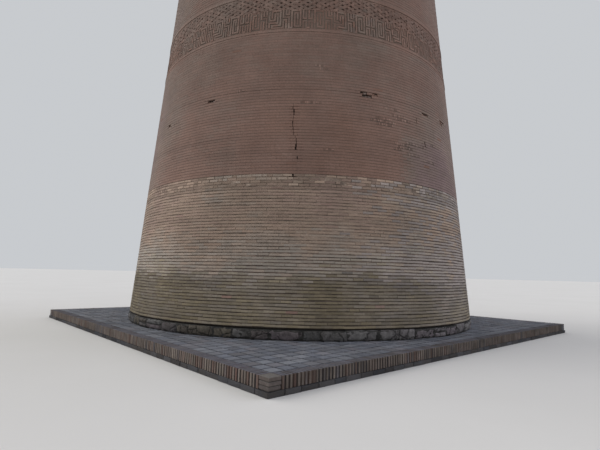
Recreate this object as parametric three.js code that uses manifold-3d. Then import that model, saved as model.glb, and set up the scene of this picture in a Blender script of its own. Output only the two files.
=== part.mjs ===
// A tall tapering brick minaret on a square brick-edged plinth, modelled at half of its real size.
// Z is up and the origin is the middle of the plinth's underside. The plinth's sides lie along
// X and Y, one corner (+X, -Y) is the one seen from the front, and the doorway faces +Y.

import * as THREE from 'three';
import { mergeVertices } from 'three/addons/utils/BufferGeometryUtils.js';
import Module from 'manifold-3d';

const wasm = await Module();
wasm.setup();

// Scale: the dimensions below are metres of the real tower, and MM turns them into model millimetres.
const MODEL_SCALE = 1 / 2;
const MM = 1000 * MODEL_SCALE;

// Plinth, in real metres
const PLINTH_HALF = 6.6;
const BASE_COURSE_HEIGHT = 0.09;
const BASE_COURSE_PROUD = 0.02;
const KERB_HEIGHT = 0.21;
const KERB_DEPTH = 0.25;
const PLINTH_HEIGHT = BASE_COURSE_HEIGHT + KERB_HEIGHT;

// Shaft, in real metres above the plinth's paving
const FOOTING_RADIUS = 5.8;
const FOOTING_HEIGHT = 0.25;
const SHAFT_FOOT_RADIUS = 5.79;
const SHAFT_TOP_RADIUS = 1.05;
const SHAFT_TOP = 57.0;
const TAPER_POWER = 1.04;
const LOWER_BRICK_TOP = 4.0;
const DOOR_SILL = 5.4;
const FIRST_BAND_FOOT = 7.88;
const WELL_SHARE = 0.72;

// Ornament bands and the plain zones between them, which all shrink a little upwards
const BAND_COUNT = 13;
const FIRST_BAND_HEIGHT = 1.32;
const BAND_HEIGHT_STEP = 0.03;
const PLAIN_HEIGHT_STEP = 0.06;
const LOWER_RIB_HEIGHT = 0.13;
const UPPER_RIB_HEIGHT = 0.08;
const RIB_PROUD = 0.015;

// Doorway, a raised pointed arch on the far side
const DOOR_WIDTH = 0.9;
const DOOR_SPRINGING = 1.37;
const DOOR_WALL_ANGLE = 45;
const STOREY_WALL_ANGLE = (360 - DOOR_WALL_ANGLE) / 3;

// Corbel and the broken lantern above it
const CORBEL_STEP_HEIGHT = 0.25;
const CORBEL_STEP_PROUD = 0.15;
const LANTERN_RADIUS = 0.98;
const LANTERN_WALL = 0.28;
const LANTERN_TOP = 59.7;
const WINDOW_WIDTH = 0.34;
const WINDOW_SILL = 0.45;
const WINDOW_SPRINGING = 0.8;
const RIM_BREAKS = [
  { angle: 48, width: 0.62, depth: 0.16 },
  { angle: 140, width: 0.85, depth: 0.3 },
  { angle: 232, width: 0.5, depth: 0.22 },
  { angle: 318, width: 0.74, depth: 0.12 },
];

// Number of flat sides that stand for a round wall, and the joint left between cut pieces
const SIDES_BY_RADIUS = [
  { above: 3.9, sides: 48 },
  { above: 2.3, sides: 32 },
  { above: 0, sides: 24 },
];
const ARCH_SIDES = 5;
const CUT_JOINT = 0.3;

const degrees = Math.PI / 180;

function material(hex, roughness) {
  return new THREE.MeshStandardMaterial({ color: hex, roughness, metalness: 0 });
}

const lightBrick = material(0x8a7a69, 0.9);
const plainBrick = material(0x75665b, 0.88);
const ornamentBrick = material(0x82715f, 0.9);
const footingStone = material(0x6d6b66, 0.92);
const kerbBrick = material(0x86695a, 0.9);
const baseCourseStone = material(0x565553, 0.92);
const pavingTile = material(0x84868c, 0.88);

const minaret = new THREE.Group();

function addMesh(name, geometry, finish, bottom) {
  const mesh = new THREE.Mesh(geometry, finish);
  mesh.name = name;
  mesh.position.z = bottom;
  minaret.add(mesh);
}

// Heights above the paving become whole model millimetres, so stacked pieces meet on one plane.
function level(height) {
  return Math.round((PLINTH_HEIGHT + height) * MM);
}

function shaftRadius(height) {
  const left = Math.max(0, 1 - height / SHAFT_TOP);
  return SHAFT_TOP_RADIUS + (SHAFT_FOOT_RADIUS - SHAFT_TOP_RADIUS) * left ** TAPER_POWER;
}

function wellRadius(height) {
  return WELL_SHARE * shaftRadius(height);
}

function sidesFor(radius) {
  return SIDES_BY_RADIUS.find((row) => radius > row.above).sides;
}

// Turns a profile of [radius in metres, height above the piece's foot in millimetres] about the Z axis.
function turned(profile, sides) {
  const points = profile.map(([radius, z]) => new THREE.Vector2(radius * MM, z));
  const geometry = new THREE.LatheGeometry(points, sides);
  geometry.rotateX(Math.PI / 2);
  return geometry;
}

function solidRing(name, foot, top, finish) {
  const height = level(top) - level(foot);
  const profile = [
    [0, 0],
    [shaftRadius(foot), 0],
    [shaftRadius(top), height],
    [0, height],
  ];
  addMesh(name, turned(profile, sidesFor(shaftRadius(foot))), finish, level(foot));
}

// A hollow ring of the shaft, with an optional rib along its lower and upper edge
function hollowRingGeometry(foot, top, ribbed) {
  const height = level(top) - level(foot);
  const proud = ribbed ? RIB_PROUD : 0;
  const lowerRibTop = foot + LOWER_RIB_HEIGHT;
  const upperRibFoot = top - UPPER_RIB_HEIGHT;
  const ribs = ribbed
    ? [
        [shaftRadius(lowerRibTop) + proud, LOWER_RIB_HEIGHT * MM],
        [shaftRadius(lowerRibTop), LOWER_RIB_HEIGHT * MM],
        [shaftRadius(upperRibFoot), height - UPPER_RIB_HEIGHT * MM],
        [shaftRadius(upperRibFoot) + proud, height - UPPER_RIB_HEIGHT * MM],
      ]
    : [];
  const start = [wellRadius(foot), 0];
  const profile = [
    start,
    [shaftRadius(foot) + proud, 0],
    ...ribs,
    [shaftRadius(top) + proud, height],
    [wellRadius(top), height],
    start,
  ];
  return turned(profile, sidesFor(shaftRadius(foot)));
}

// Conversions between three.js geometry and a solid that can be cut
function toSolid(geometry) {
  const bare = geometry.clone();
  bare.deleteAttribute('normal');
  bare.deleteAttribute('uv');
  const merged = mergeVertices(bare, 1e-4);
  const triangles = [];
  const index = merged.index.array;
  for (let i = 0; i < index.length; i += 3) {
    const [a, b, c] = [index[i], index[i + 1], index[i + 2]];
    if (a !== b && b !== c && a !== c) {
      triangles.push(a, b, c);
    }
  }
  return new wasm.Manifold(
    new wasm.Mesh({
      numProp: 3,
      vertProperties: new Float32Array(merged.attributes.position.array),
      triVerts: new Uint32Array(triangles),
    }),
  );
}

function toGeometry(solid) {
  const mesh = solid.getMesh();
  const geometry = new THREE.BufferGeometry();
  geometry.setAttribute('position', new THREE.BufferAttribute(mesh.vertProperties, 3));
  geometry.setIndex(new THREE.BufferAttribute(mesh.triVerts, 1));
  geometry.computeVertexNormals();
  return geometry;
}

// A pointed arch outline standing on y = 0, whose two curves are each struck from the other springing point
function pointedArch(width, springing, drop) {
  const half = width / 2;
  const shape = new THREE.Shape();
  shape.moveTo(-half, -drop);
  shape.lineTo(half, -drop);
  shape.lineTo(half, springing);
  shape.absarc(-half, springing, width, 0, 60 * degrees, false);
  shape.absarc(half, springing, width, 120 * degrees, 180 * degrees, false);
  shape.lineTo(-half, -drop);
  return shape;
}

// An arch-shaped cutter that runs along Y through the wall, from y = near to y = far
function archCutter(width, springing, drop, near, far) {
  const shape = pointedArch(width * MM, springing * MM, drop);
  const options = { depth: far - near, bevelEnabled: false, curveSegments: ARCH_SIDES };
  const geometry = new THREE.ExtrudeGeometry(shape, options);
  geometry.rotateX(Math.PI / 2);
  geometry.translate(0, far, 0);
  return geometry;
}

// A wedge about the Z axis between two angles, drawn in by half a joint on each side
function wedge(startAngle, endAngle, reach, height) {
  const middle = (startAngle + endAngle) / 2;
  const halfAngle = ((endAngle - startAngle) / 2) * degrees;
  const set = CUT_JOINT / 2 / Math.sin(halfAngle);
  const shape = new THREE.Shape();
  shape.moveTo(set, 0);
  shape.lineTo(set + reach * Math.cos(-halfAngle), reach * Math.sin(-halfAngle));
  shape.lineTo(set + reach * 1.5, 0);
  shape.lineTo(set + reach * Math.cos(halfAngle), reach * Math.sin(halfAngle));
  const geometry = new THREE.ExtrudeGeometry(shape, { depth: height + 2, bevelEnabled: false });
  geometry.translate(0, 0, -1);
  geometry.rotateZ(middle * degrees);
  return geometry;
}

function addPlinth() {
  const half = PLINTH_HALF * MM;
  const depth = KERB_DEPTH * MM;
  const kerbHeight = KERB_HEIGHT * MM;
  const baseHeight = BASE_COURSE_HEIGHT * MM;
  const inner = half - depth;
  const wide = 2 * (half + BASE_COURSE_PROUD * MM);
  const kerbMiddle = baseHeight + kerbHeight / 2;

  const base = new THREE.BoxGeometry(wide, wide, baseHeight);
  addMesh('plinth_base_course', base, baseCourseStone, baseHeight / 2);
  const slab = new THREE.BoxGeometry(2 * inner, 2 * inner, kerbHeight);
  addMesh('plinth_paving', slab, pavingTile, kerbMiddle);

  const sides = [
    { name: 'kerb_south', x: 0, y: -1 },
    { name: 'kerb_east', x: 1, y: 0 },
    { name: 'kerb_north', x: 0, y: 1 },
    { name: 'kerb_west', x: -1, y: 0 },
  ];
  for (const side of sides) {
    const alongX = side.x === 0 ? 2 * inner : depth;
    const alongY = side.y === 0 ? 2 * inner : depth;
    const kerb = new THREE.BoxGeometry(alongX, alongY, kerbHeight);
    kerb.translate(side.x * (half - depth / 2), side.y * (half - depth / 2), 0);
    addMesh(side.name, kerb, kerbBrick, kerbMiddle);
  }

  const corners = [
    { name: 'corner_block_south_east', x: 1, y: -1 },
    { name: 'corner_block_north_east', x: 1, y: 1 },
    { name: 'corner_block_north_west', x: -1, y: 1 },
    { name: 'corner_block_south_west', x: -1, y: -1 },
  ];
  for (const corner of corners) {
    const block = new THREE.BoxGeometry(depth, depth, kerbHeight);
    block.translate(corner.x * (half - depth / 2), corner.y * (half - depth / 2), 0);
    addMesh(corner.name, block, kerbBrick, kerbMiddle);
  }
}

function addSolidFoot() {
  const height = level(FOOTING_HEIGHT) - level(0);
  const profile = [
    [0, 0],
    [FOOTING_RADIUS, 0],
    [FOOTING_RADIUS, height],
    [0, height],
  ];
  addMesh('stone_footing', turned(profile, sidesFor(FOOTING_RADIUS)), footingStone, level(0));
  solidRing('lower_brick_shaft', FOOTING_HEIGHT, LOWER_BRICK_TOP, lightBrick);
  solidRing('plain_brick_shaft', LOWER_BRICK_TOP, DOOR_SILL, plainBrick);
}

// The storey with the doorway is four curved walls, and the arch is cut through the one facing +Y.
function addDoorStorey() {
  const ring = toSolid(hollowRingGeometry(DOOR_SILL, FIRST_BAND_FOOT, false));
  const height = level(FIRST_BAND_FOOT) - level(DOOR_SILL);
  const reach = 1.2 * shaftRadius(DOOR_SILL) * MM;
  const near = 0.5 * wellRadius(DOOR_SILL) * MM;
  const doorWallStart = 90 - DOOR_WALL_ANGLE / 2;
  const doorWallEnd = 90 + DOOR_WALL_ANGLE / 2;

  const opening = toSolid(archCutter(DOOR_WIDTH, DOOR_SPRINGING, 1, near, reach));
  const doorWall = ring.intersect(toSolid(wedge(doorWallStart, doorWallEnd, reach, height)));
  addMesh('doorway_wall', toGeometry(doorWall.subtract(opening)), plainBrick, level(DOOR_SILL));

  ['west', 'south', 'east'].forEach((name, i) => {
    const start = doorWallEnd + i * STOREY_WALL_ANGLE;
    const wall = ring.intersect(toSolid(wedge(start, start + STOREY_WALL_ANGLE, reach, height)));
    addMesh(`door_storey_wall_${name}`, toGeometry(wall), plainBrick, level(DOOR_SILL));
  });
}

function addBandsAndPlainZones() {
  const steps = (BAND_COUNT * (BAND_COUNT - 1)) / 2;
  const bandTotal = BAND_COUNT * FIRST_BAND_HEIGHT - steps * BAND_HEIGHT_STEP;
  const plainCount = BAND_COUNT - 1;
  const plainSteps = (plainCount * (plainCount - 1)) / 2;
  const plainTotal = SHAFT_TOP - FIRST_BAND_FOOT - bandTotal;
  const firstPlainHeight = (plainTotal + plainSteps * PLAIN_HEIGHT_STEP) / plainCount;

  let foot = FIRST_BAND_FOOT;
  for (let i = 0; i < BAND_COUNT; i += 1) {
    const number = String(i + 1).padStart(2, '0');
    const bandTop = foot + FIRST_BAND_HEIGHT - i * BAND_HEIGHT_STEP;
    addMesh(`ornament_band_${number}`, hollowRingGeometry(foot, bandTop, true), ornamentBrick, level(foot));
    foot = bandTop;
    if (i < plainCount) {
      const plainTop = foot + firstPlainHeight - i * PLAIN_HEIGHT_STEP;
      addMesh(`plain_shaft_${number}`, hollowRingGeometry(foot, plainTop, false), plainBrick, level(foot));
      foot = plainTop;
    }
  }
}

function addCorbel() {
  const step = CORBEL_STEP_HEIGHT * MM;
  const well = wellRadius(SHAFT_TOP);
  const start = [well, 0];
  const profile = [
    start,
    [SHAFT_TOP_RADIUS + CORBEL_STEP_PROUD, 0],
    [SHAFT_TOP_RADIUS + CORBEL_STEP_PROUD, step],
    [SHAFT_TOP_RADIUS + 2 * CORBEL_STEP_PROUD, step],
    [SHAFT_TOP_RADIUS + 2 * CORBEL_STEP_PROUD, 2 * step],
    [well, 2 * step],
    start,
  ];
  addMesh('corbel_ring', turned(profile, sidesFor(SHAFT_TOP_RADIUS)), ornamentBrick, level(SHAFT_TOP));
}

// The lantern is a drum with four arched windows and a rim that has lost some of its bricks.
function addLantern() {
  const foot = SHAFT_TOP + 2 * CORBEL_STEP_HEIGHT;
  const height = level(LANTERN_TOP) - level(foot);
  const start = [LANTERN_RADIUS - LANTERN_WALL, 0];
  const profile = [
    start,
    [LANTERN_RADIUS, 0],
    [LANTERN_RADIUS, height],
    [LANTERN_RADIUS - LANTERN_WALL, height],
    start,
  ];
  let drum = toSolid(turned(profile, sidesFor(LANTERN_RADIUS)));
  const reach = 1.2 * LANTERN_RADIUS * MM;
  for (const turn of [0, 90]) {
    const window = archCutter(WINDOW_WIDTH, WINDOW_SPRINGING, 0, -reach, reach);
    window.translate(0, 0, WINDOW_SILL * MM);
    window.rotateZ(turn * degrees);
    drum = drum.subtract(toSolid(window));
  }
  for (const rimBreak of RIM_BREAKS) {
    const depth = rimBreak.depth * MM;
    const gap = new THREE.BoxGeometry(reach, rimBreak.width * MM, 2 * depth);
    gap.translate(reach / 2 + (LANTERN_RADIUS - 2 * LANTERN_WALL) * MM, 0, height);
    gap.rotateZ(rimBreak.angle * degrees);
    drum = drum.subtract(toSolid(gap));
  }
  addMesh('lantern_drum', toGeometry(drum), plainBrick, level(foot));
}

addPlinth();
addSolidFoot();
addDoorStorey();
addBandsAndPlainZones();
addCorbel();
addLantern();

export default minaret;
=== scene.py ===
import math

import bpy
import numpy as np
from mathutils import Matrix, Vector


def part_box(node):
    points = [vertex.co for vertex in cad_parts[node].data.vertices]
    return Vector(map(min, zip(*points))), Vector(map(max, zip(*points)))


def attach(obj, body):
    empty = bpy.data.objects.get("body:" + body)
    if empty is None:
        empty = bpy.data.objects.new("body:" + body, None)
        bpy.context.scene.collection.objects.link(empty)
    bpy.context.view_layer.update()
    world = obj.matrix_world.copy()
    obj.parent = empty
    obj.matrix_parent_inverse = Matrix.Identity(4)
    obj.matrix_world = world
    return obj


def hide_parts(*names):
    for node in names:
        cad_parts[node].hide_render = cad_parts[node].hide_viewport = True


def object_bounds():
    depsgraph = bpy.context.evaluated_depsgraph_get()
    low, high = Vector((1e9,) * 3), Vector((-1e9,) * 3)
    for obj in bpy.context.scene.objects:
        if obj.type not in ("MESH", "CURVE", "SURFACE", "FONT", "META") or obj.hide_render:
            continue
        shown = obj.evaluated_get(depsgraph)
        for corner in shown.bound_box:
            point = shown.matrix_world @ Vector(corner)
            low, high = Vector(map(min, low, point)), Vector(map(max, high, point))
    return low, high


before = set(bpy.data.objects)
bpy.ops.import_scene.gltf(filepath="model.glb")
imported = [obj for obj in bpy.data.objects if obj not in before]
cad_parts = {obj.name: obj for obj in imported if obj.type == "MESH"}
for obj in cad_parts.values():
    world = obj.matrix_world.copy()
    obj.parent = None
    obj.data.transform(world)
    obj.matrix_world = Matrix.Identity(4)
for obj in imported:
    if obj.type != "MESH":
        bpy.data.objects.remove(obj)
cad_low, cad_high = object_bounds()

# The looks of a tall tapering brick minaret on a square brick-edged plinth.
# The model is half of the real size, and every size here is in metres of the model.

# Brickwork of the shaft
COURSE_HEIGHT = 0.0394
BRICK_PITCH = 0.134
BRICK_DEPTH = 0.06
SHORTEST_BRICK = 0.012
LIGHT_BRICK_HEIGHT = 0.0275
LIGHT_END_JOINT = 0.0004
LIGHT_RECESS = 0.007
PLAIN_BRICK_HEIGHT = 0.0340
PLAIN_END_JOINT = 0.0005
PLAIN_RECESS = 0.0022
ARRIS = 0.0016
END_ARRIS = 0.25
BRICK_WOBBLE = 0.0007
SHAFT_SIDES = 256
BAND_SIDES = 128
RING_SIDES = 96
WELL_SHARE = 0.72
POCKET_DEPTH = 0.03

# Ribs of the ornament bands, and how deep the ground behind the ornament lies
RIB_PROUD = 0.0075
RIB_FACE = 0.0045
RIB_RECESS = 0.005
LOWER_RIB_HEIGHT = 0.065
UPPER_RIB_HEIGHT = 0.04
FLUSH_COURSE = 0.031
FRET_GROUND = 0.008
LATTICE_GROUND = 0.024
# How far the ornament's bricks reach into that ground
ORNAMENT_BED = 0.012

# Lattice: rows, width of a mesh, width of a bar, and its turn from the photographed side in degrees
LATTICE_ROWS = 3.5
LATTICE_ACROSS = 0.12
LATTICE_BAR = 0.032
LATTICE_TURN = -15.6

# Plinth
BASE_PROUD = 0.01
BASE_BLOCKS = 38
BASE_BLOCK_DEPTH = 0.12
BASE_JOINT = 0.003
BASE_RECESS = 0.008
KERB_PITCH = 0.0405
KERB_BRICK_WIDTH = 0.0215
KERB_RECESS = 0.008
KERB_CORE_INSET = 0.03
KERB_CORE_DROP = 0.02
CORNER_BRICKS = 3
CORNER_JOINT = 0.0065
TILE_PITCH = 0.145
TILE_JOINT = 0.024
TILE_RECESS = 0.008
# The kerb side with painted shade, counted as plinth_side does: its bricks get a lower tone and more of the
# dark damp colour
SHADED_KERB_SIDE = 1
KERB_SHADE_TONE = 0.84
KERB_SHADE_DARKENING = 0.4

# Footing, and the open joint between it and the first course of bricks
FOOTING_BLOCKS = 63
FOOTING_DEPTH = 0.1
FOOTING_BULGE = 0.007
FOOTING_ROUGHNESS = 0.0028
# Parts across and up in the rough front of each block
FOOTING_GRID = (8, 4)
FOOTING_SIDES = 192
FOOTING_RECESS = 0.016
FOOT_GAP = 0.015

# Doorway, and the windows and broken rim of the lantern
DOOR_WIDTH = 0.45
DOOR_SPRINGING = 0.685
DOOR_FRAME = 0.11
DOOR_FRAME_DEPTH = 0.16
DOOR_SIDE = math.pi / 2
# How near and how far from the axis the doorway and the lantern's openings are cut
DOOR_CUT = (1.0, 3.5)
LANTERN_CUT = (0.2, 0.8)
CORBEL_STEP = 0.075
CORBEL_CORE_DEPTH = 0.03
LANTERN_WALL = 0.14
LANTERN_PITCH = 0.118
WINDOW_WIDTH = 0.17
WINDOW_SILL = 0.225
WINDOW_SPRINGING = 0.4
# Gaps in the rim: the direction in degrees, the width and the depth
RIM_BREAKS = [(48, 0.31, 0.08), (140, 0.425, 0.15), (232, 0.25, 0.11), (318, 0.37, 0.06)]

# The side of the tower that the photograph looks at, as an angle from +X towards +Y, and the
# camera's height above the paving
PHOTO_SIDE = math.radians(-42.77)
EYE_HEIGHT = 0.769

rng = np.random.default_rng(57)


def foot_of(node):
    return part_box(node)[0].z


def top_of(node):
    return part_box(node)[1].z


def numbered(name, count):
    return [f"{name}_{i:02d}" for i in range(1, count + 1)]


BANDS = numbered("ornament_band", 13)
PLAIN_RINGS = numbered("plain_shaft", 12)
PAVING_TOP = top_of("plinth_paving")


def shaft_profile():
    """Heights and radii along the shaft, from the boxes of the rings that it is built of."""
    knots = []
    for node in ["lower_brick_shaft", "plain_brick_shaft", "door_storey_wall_east", *PLAIN_RINGS]:
        low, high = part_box(node)
        knots.append((low.z, high.x))
    for node in BANDS:
        low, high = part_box(node)
        knots.append((low.z, high.x - RIB_PROUD))
    low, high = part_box("corbel_ring")
    knots.append((low.z, high.x - 2 * CORBEL_STEP))
    knots.sort()
    return np.array(knots).T


PROFILE_HEIGHTS, PROFILE_RADII = shaft_profile()


def shaft_radius(height):
    return np.interp(height, PROFILE_HEIGHTS, PROFILE_RADII)


# Mesh building

def stack_quads(rings):
    """Faces of a block made of rings of four corners, from its outer face to its back."""
    quads = [(0, 1, 2, 3)]
    for ring in range(rings - 1):
        for corner in range(4):
            after = (corner + 1) % 4
            a, b = 4 * ring + corner, 4 * ring + after
            quads.append((a, a + 4, b + 4, b))
    last = 4 * (rings - 1)
    quads.append((last + 3, last + 2, last + 1, last))
    return np.array(quads)


def add_object(name, data):
    made = bpy.data.objects.new(name, data)
    bpy.context.scene.collection.objects.link(made)
    return made


class Piece:
    """Gathers blocks and turned surfaces, each with its material and marks, into one mesh object."""

    MARKS = ("tone", "tint", "damp")

    def __init__(self, name):
        self.name = name
        self.points = []
        self.loops = []
        self.sizes = []
        self.slots = []
        self.marks = []
        self.materials = []
        self.count = 0

    def slot_of(self, material):
        if material not in self.materials:
            self.materials.append(material)
        return self.materials.index(material)

    def keep_points(self, points, marks):
        """Stores rows of points, whose marks are one number, one per row or one per point."""
        rows, corners, _ = points.shape
        values = np.empty((rows, corners, len(self.MARKS)))
        for i, mark in enumerate(marks):
            mark = np.asarray(mark, float)
            values[:, :, i] = mark[:, None] if mark.ndim == 1 else mark
        self.points.append(points.reshape(-1, 3))
        self.marks.append(values.reshape(-1, len(self.MARKS)))
        self.count += rows * corners

    def keep_faces(self, loops, corners, slots):
        """Stores faces of equally many corners, with the slot of each one's material."""
        self.loops.append(self.count + loops.reshape(-1))
        self.sizes.append(np.full(slots.size, corners))
        self.slots.append(slots.reshape(-1))

    def add(self, points, material, tone=1.0, tint=0.5, damp=0.0, quads=None):
        """Blocks of equal make: points is (blocks, corners, 3) and quads the faces of one block.

        A block without quads is made of rings of four corners."""
        count, corners, _ = points.shape
        if quads is None:
            quads = stack_quads(corners // 4)
        faces = corners * np.arange(count)[:, None, None] + quads
        self.keep_faces(faces, 4, np.full(count * len(quads), self.slot_of(material)))
        self.keep_points(points, (tone, tint, damp))

    def add_turned(self, radii, heights, material, inner=None, tone=1.0, tint=0.5, damp=0.0):
        """A surface turned round Z: radii is (levels, sides), and heights gives each level's height.

        With an inner material it is hollow: its last two levels are the well's, and it closes
        from its last level back to its first. Without one it gets a flat cap at both ends."""
        levels, sides = radii.shape
        angles = side_angles(sides)
        points = np.empty((levels, sides, 3))
        points[:, :, 0] = radii * np.cos(angles)
        points[:, :, 1] = radii * np.sin(angles)
        points[:, :, 2] = np.asarray(heights)[:, None]
        low = np.arange(levels if inner else levels - 1)
        high = (low + 1) % levels
        side = np.arange(sides)
        after = (side + 1) % sides
        low, high = low[:, None] * sides, high[:, None] * sides
        faces = np.stack([low + side, low + after, high + after, high + side], axis=-1)
        slots = np.full((len(low), sides), self.slot_of(material))
        if inner:
            slots[levels - 2] = self.slot_of(inner)
        self.keep_faces(faces, 4, slots)
        if not inner:
            for cap in (side[::-1], (levels - 1) * sides + side):
                self.keep_faces(cap, sides, slots[0, :1])
        self.keep_points(points, (tone, tint, damp))

    def finish(self, slot, replaces=(), smooth=False):
        """Makes the object, lets it ride on the frame and hides the parts that it replaces."""
        mesh = bpy.data.meshes.new(self.name)
        loops = np.concatenate(self.loops).astype(np.int32)
        sizes = np.concatenate(self.sizes)
        starts = np.concatenate([[0], np.cumsum(sizes)[:-1]]).astype(np.int32)
        mesh.vertices.add(self.count)
        mesh.vertices.foreach_set("co", np.concatenate(self.points).astype(np.float32).ravel())
        mesh.loops.add(len(loops))
        mesh.loops.foreach_set("vertex_index", loops)
        mesh.polygons.add(len(sizes))
        mesh.polygons.foreach_set("loop_start", starts)
        mesh.polygons.foreach_set("material_index", np.concatenate(self.slots).astype(np.int32))
        mesh.polygons.foreach_set("use_smooth", np.full(len(sizes), smooth))
        for material in self.materials:
            mesh.materials.append(material)
        marks = np.concatenate(self.marks).astype(np.float32)
        for i, mark in enumerate(self.MARKS):
            attribute = mesh.attributes.new(mark, "FLOAT", "POINT")
            attribute.data.foreach_set("value", np.ascontiguousarray(marks[:, i]))
        mesh.update(calc_edges=True)
        mesh.validate()
        piece = add_object(self.name, mesh)
        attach(piece, "root")
        if replaces:
            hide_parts(*replaces)
        return piece


def blocks(left, right, low, high, face, depth, arris=0.0, wobble=0.0, ends=1.0):
    """Corners of brick-like blocks in a wall's own measure: along it, up it and out of it.

    All sizes may be one per block. The outer face has a worn arris, of which the blocks' ends have
    the given share, and wobble shifts its corners."""
    left, right, low, high, face, depth = np.broadcast_arrays(left, right, low, high, face, depth)
    side = np.array([0, 1, 1, 0])
    rise = np.array([0, 0, 1, 1])
    shift = wobble * rng.uniform(-1, 1, (3, len(left), 4))
    rings = [(arris, face), (0.0, face - arris)] if arris else [(0.0, face)]
    points = []
    for inset, out in [*rings, (0.0, face - depth)]:
        along = left[:, None] + side * (right - left)[:, None] + ends * inset * (1 - 2 * side)
        up = low[:, None] + rise * (high - low)[:, None] + inset * (1 - 2 * rise)
        ring = np.stack([along, up, np.repeat(out[:, None], 4, axis=1)], axis=-1)
        ring += 0.5 * shift.transpose(1, 2, 0)
        points.append(ring)
    return np.concatenate(points, axis=1)


def round_wall(points, radius, profile=shaft_radius):
    """Bends wall measure round the shaft: along is an arc at the radius, out is from the shaft's face."""
    angle = points[..., 0] / np.reshape(radius, (-1, 1))
    out = profile(points[..., 1]) + points[..., 2]
    return np.stack([out * np.cos(angle), out * np.sin(angle), points[..., 1]], axis=-1)


def prisms(corners, face, depth):
    """Blocks of any four-cornered outline: corners is (blocks, 4, 2), counterclockwise seen from outside."""
    count = len(corners)
    rings = []
    for out in (face, face - depth):
        level = np.broadcast_to(np.reshape(out, (-1, 1, 1)), (count, 4, 1))
        rings.append(np.concatenate([corners, level], axis=-1))
    return np.concatenate(rings, axis=1)


def wrapped(angle):
    return (angle + math.pi) % (2 * math.pi) - math.pi


def side_of(angle):
    """Degrees from the photographed side, growing to its right."""
    return np.degrees(wrapped(angle - PHOTO_SIDE))


def side_angles(sides):
    return 2 * math.pi * np.arange(sides) / sides


def even_radii(radii, sides=RING_SIDES):
    return np.repeat(np.asarray(radii)[:, None], sides, axis=1)


class Courses:
    """Bricks in staggered courses round the shaft: arrays of arc positions, heights and rows."""

    def __init__(
        self, low, high, brick_height, end_joint, pitch=BRICK_PITCH, profile=shaft_radius, unevenness=0.0
    ):
        rows = max(1, round((high - low) / COURSE_HEIGHT))
        self.edges = np.linspace(low, high, rows + 1)
        middles = (self.edges[1:] + self.edges[:-1]) / 2
        radii = profile(middles)
        counts = np.round(2 * math.pi * radii / pitch).astype(int)
        row = np.repeat(np.arange(rows), counts)
        place = np.concatenate([np.arange(n) for n in counts])
        start = rng.uniform(0, 0.12, rows) + 0.5 * (np.arange(rows) % 2)
        length = (2 * math.pi * radii / counts)[row]
        nudge = rng.normal(0, 0.02, len(row))
        after = np.arange(1, len(row) + 1)
        after[place == counts[row] - 1] -= counts
        self.row = row
        self.radius = radii[row]
        self.left = (place + start[row] + nudge) * length + end_joint / 2
        self.right = (place + 1 + start[row] + nudge[after]) * length - end_joint / 2
        row_height = np.clip(1 + rng.normal(0, unevenness, rows), 0.88, 1.1)
        height = brick_height * row_height[row] * (1 + rng.normal(0, 0.03, len(row)))
        middle = middles[row] + self.drift(0.06 * unevenness)
        self.low = middle - height / 2
        self.high = middle + height / 2

    def keep(self, chosen):
        """Keeps the chosen bricks, given as a mask or by their places, which may repeat."""
        for name in ("row", "radius", "left", "right", "low", "high"):
            setattr(self, name, getattr(self, name)[chosen])

    def shorten(self, amount):
        """Widens the joints at the bricks' ends."""
        self.left = self.left + amount / 2
        self.right = self.right - amount / 2

    def break_up(self, chosen, parts):
        """Replaces the chosen bricks with short pieces, and returns which of the new ones are pieces."""
        whole = np.flatnonzero(~chosen)
        self.keep(np.concatenate([whole, np.repeat(np.flatnonzero(chosen), parts)]))
        broken = np.arange(len(self.row)) >= len(whole)
        step = (self.right - self.left)[broken]
        self.left[broken] += np.tile(np.arange(parts) / parts, chosen.sum()) * step
        self.right[broken] = self.left[broken] + step / parts
        return broken

    def drift(self, amount):
        """A value that comes and goes along each course, in stretches of about a metre."""
        angle = self.angle()
        total = np.zeros(len(self.row))
        for waves in (7, 13, 23, 41):
            phase = rng.uniform(0, 2 * math.pi, len(self.edges))
            total += np.sin(waves * angle + phase[self.row])
        return amount * total / 2

    def from_top(self):
        return len(self.edges) - 2 - self.row

    def angle(self):
        return (self.left + self.right) / 2 / self.radius

    def middle(self):
        return (self.low + self.high) / 2

    def cut(self, centre, half_width):
        """Trims the bricks back from a gap, given for each brick by its centre's angle and its half width."""
        offset = wrapped(self.angle() - centre) * self.radius
        half = (self.right - self.left) / 2
        touched = (np.abs(offset) < half + half_width) & (half_width > 0)
        shift = (self.left + self.right) / 2 - offset
        left_end = np.minimum(offset + half, -half_width) + shift
        right_start = np.maximum(offset - half, half_width) + shift
        whole = np.flatnonzero(~touched)
        split = np.flatnonzero(touched)
        self.keep(np.concatenate([whole, split, split]))
        middle = len(whole) + len(split)
        self.right[len(whole) : middle] = left_end[touched]
        self.left[middle:] = right_start[touched]
        self.keep(self.right - self.left > SHORTEST_BRICK)

    def bricks(self, face, arris, profile=shaft_radius):
        """Corners of the bricks, bent round the shaft."""
        points = blocks(
            self.left, self.right, self.low, self.high, face, BRICK_DEPTH, arris, BRICK_WOBBLE, END_ARRIS
        )
        return round_wall(points, self.radius, profile)


# Materials

def linear(red, green, blue):
    """A colour of 0 to 255 per channel as the linear values that the shaders take."""
    channels = np.array([red, green, blue]) / 255
    values = np.where(channels <= 0.04045, channels / 12.92, ((channels + 0.055) / 1.055) ** 2.4)
    return (*values.tolist(), 1.0)


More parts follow.
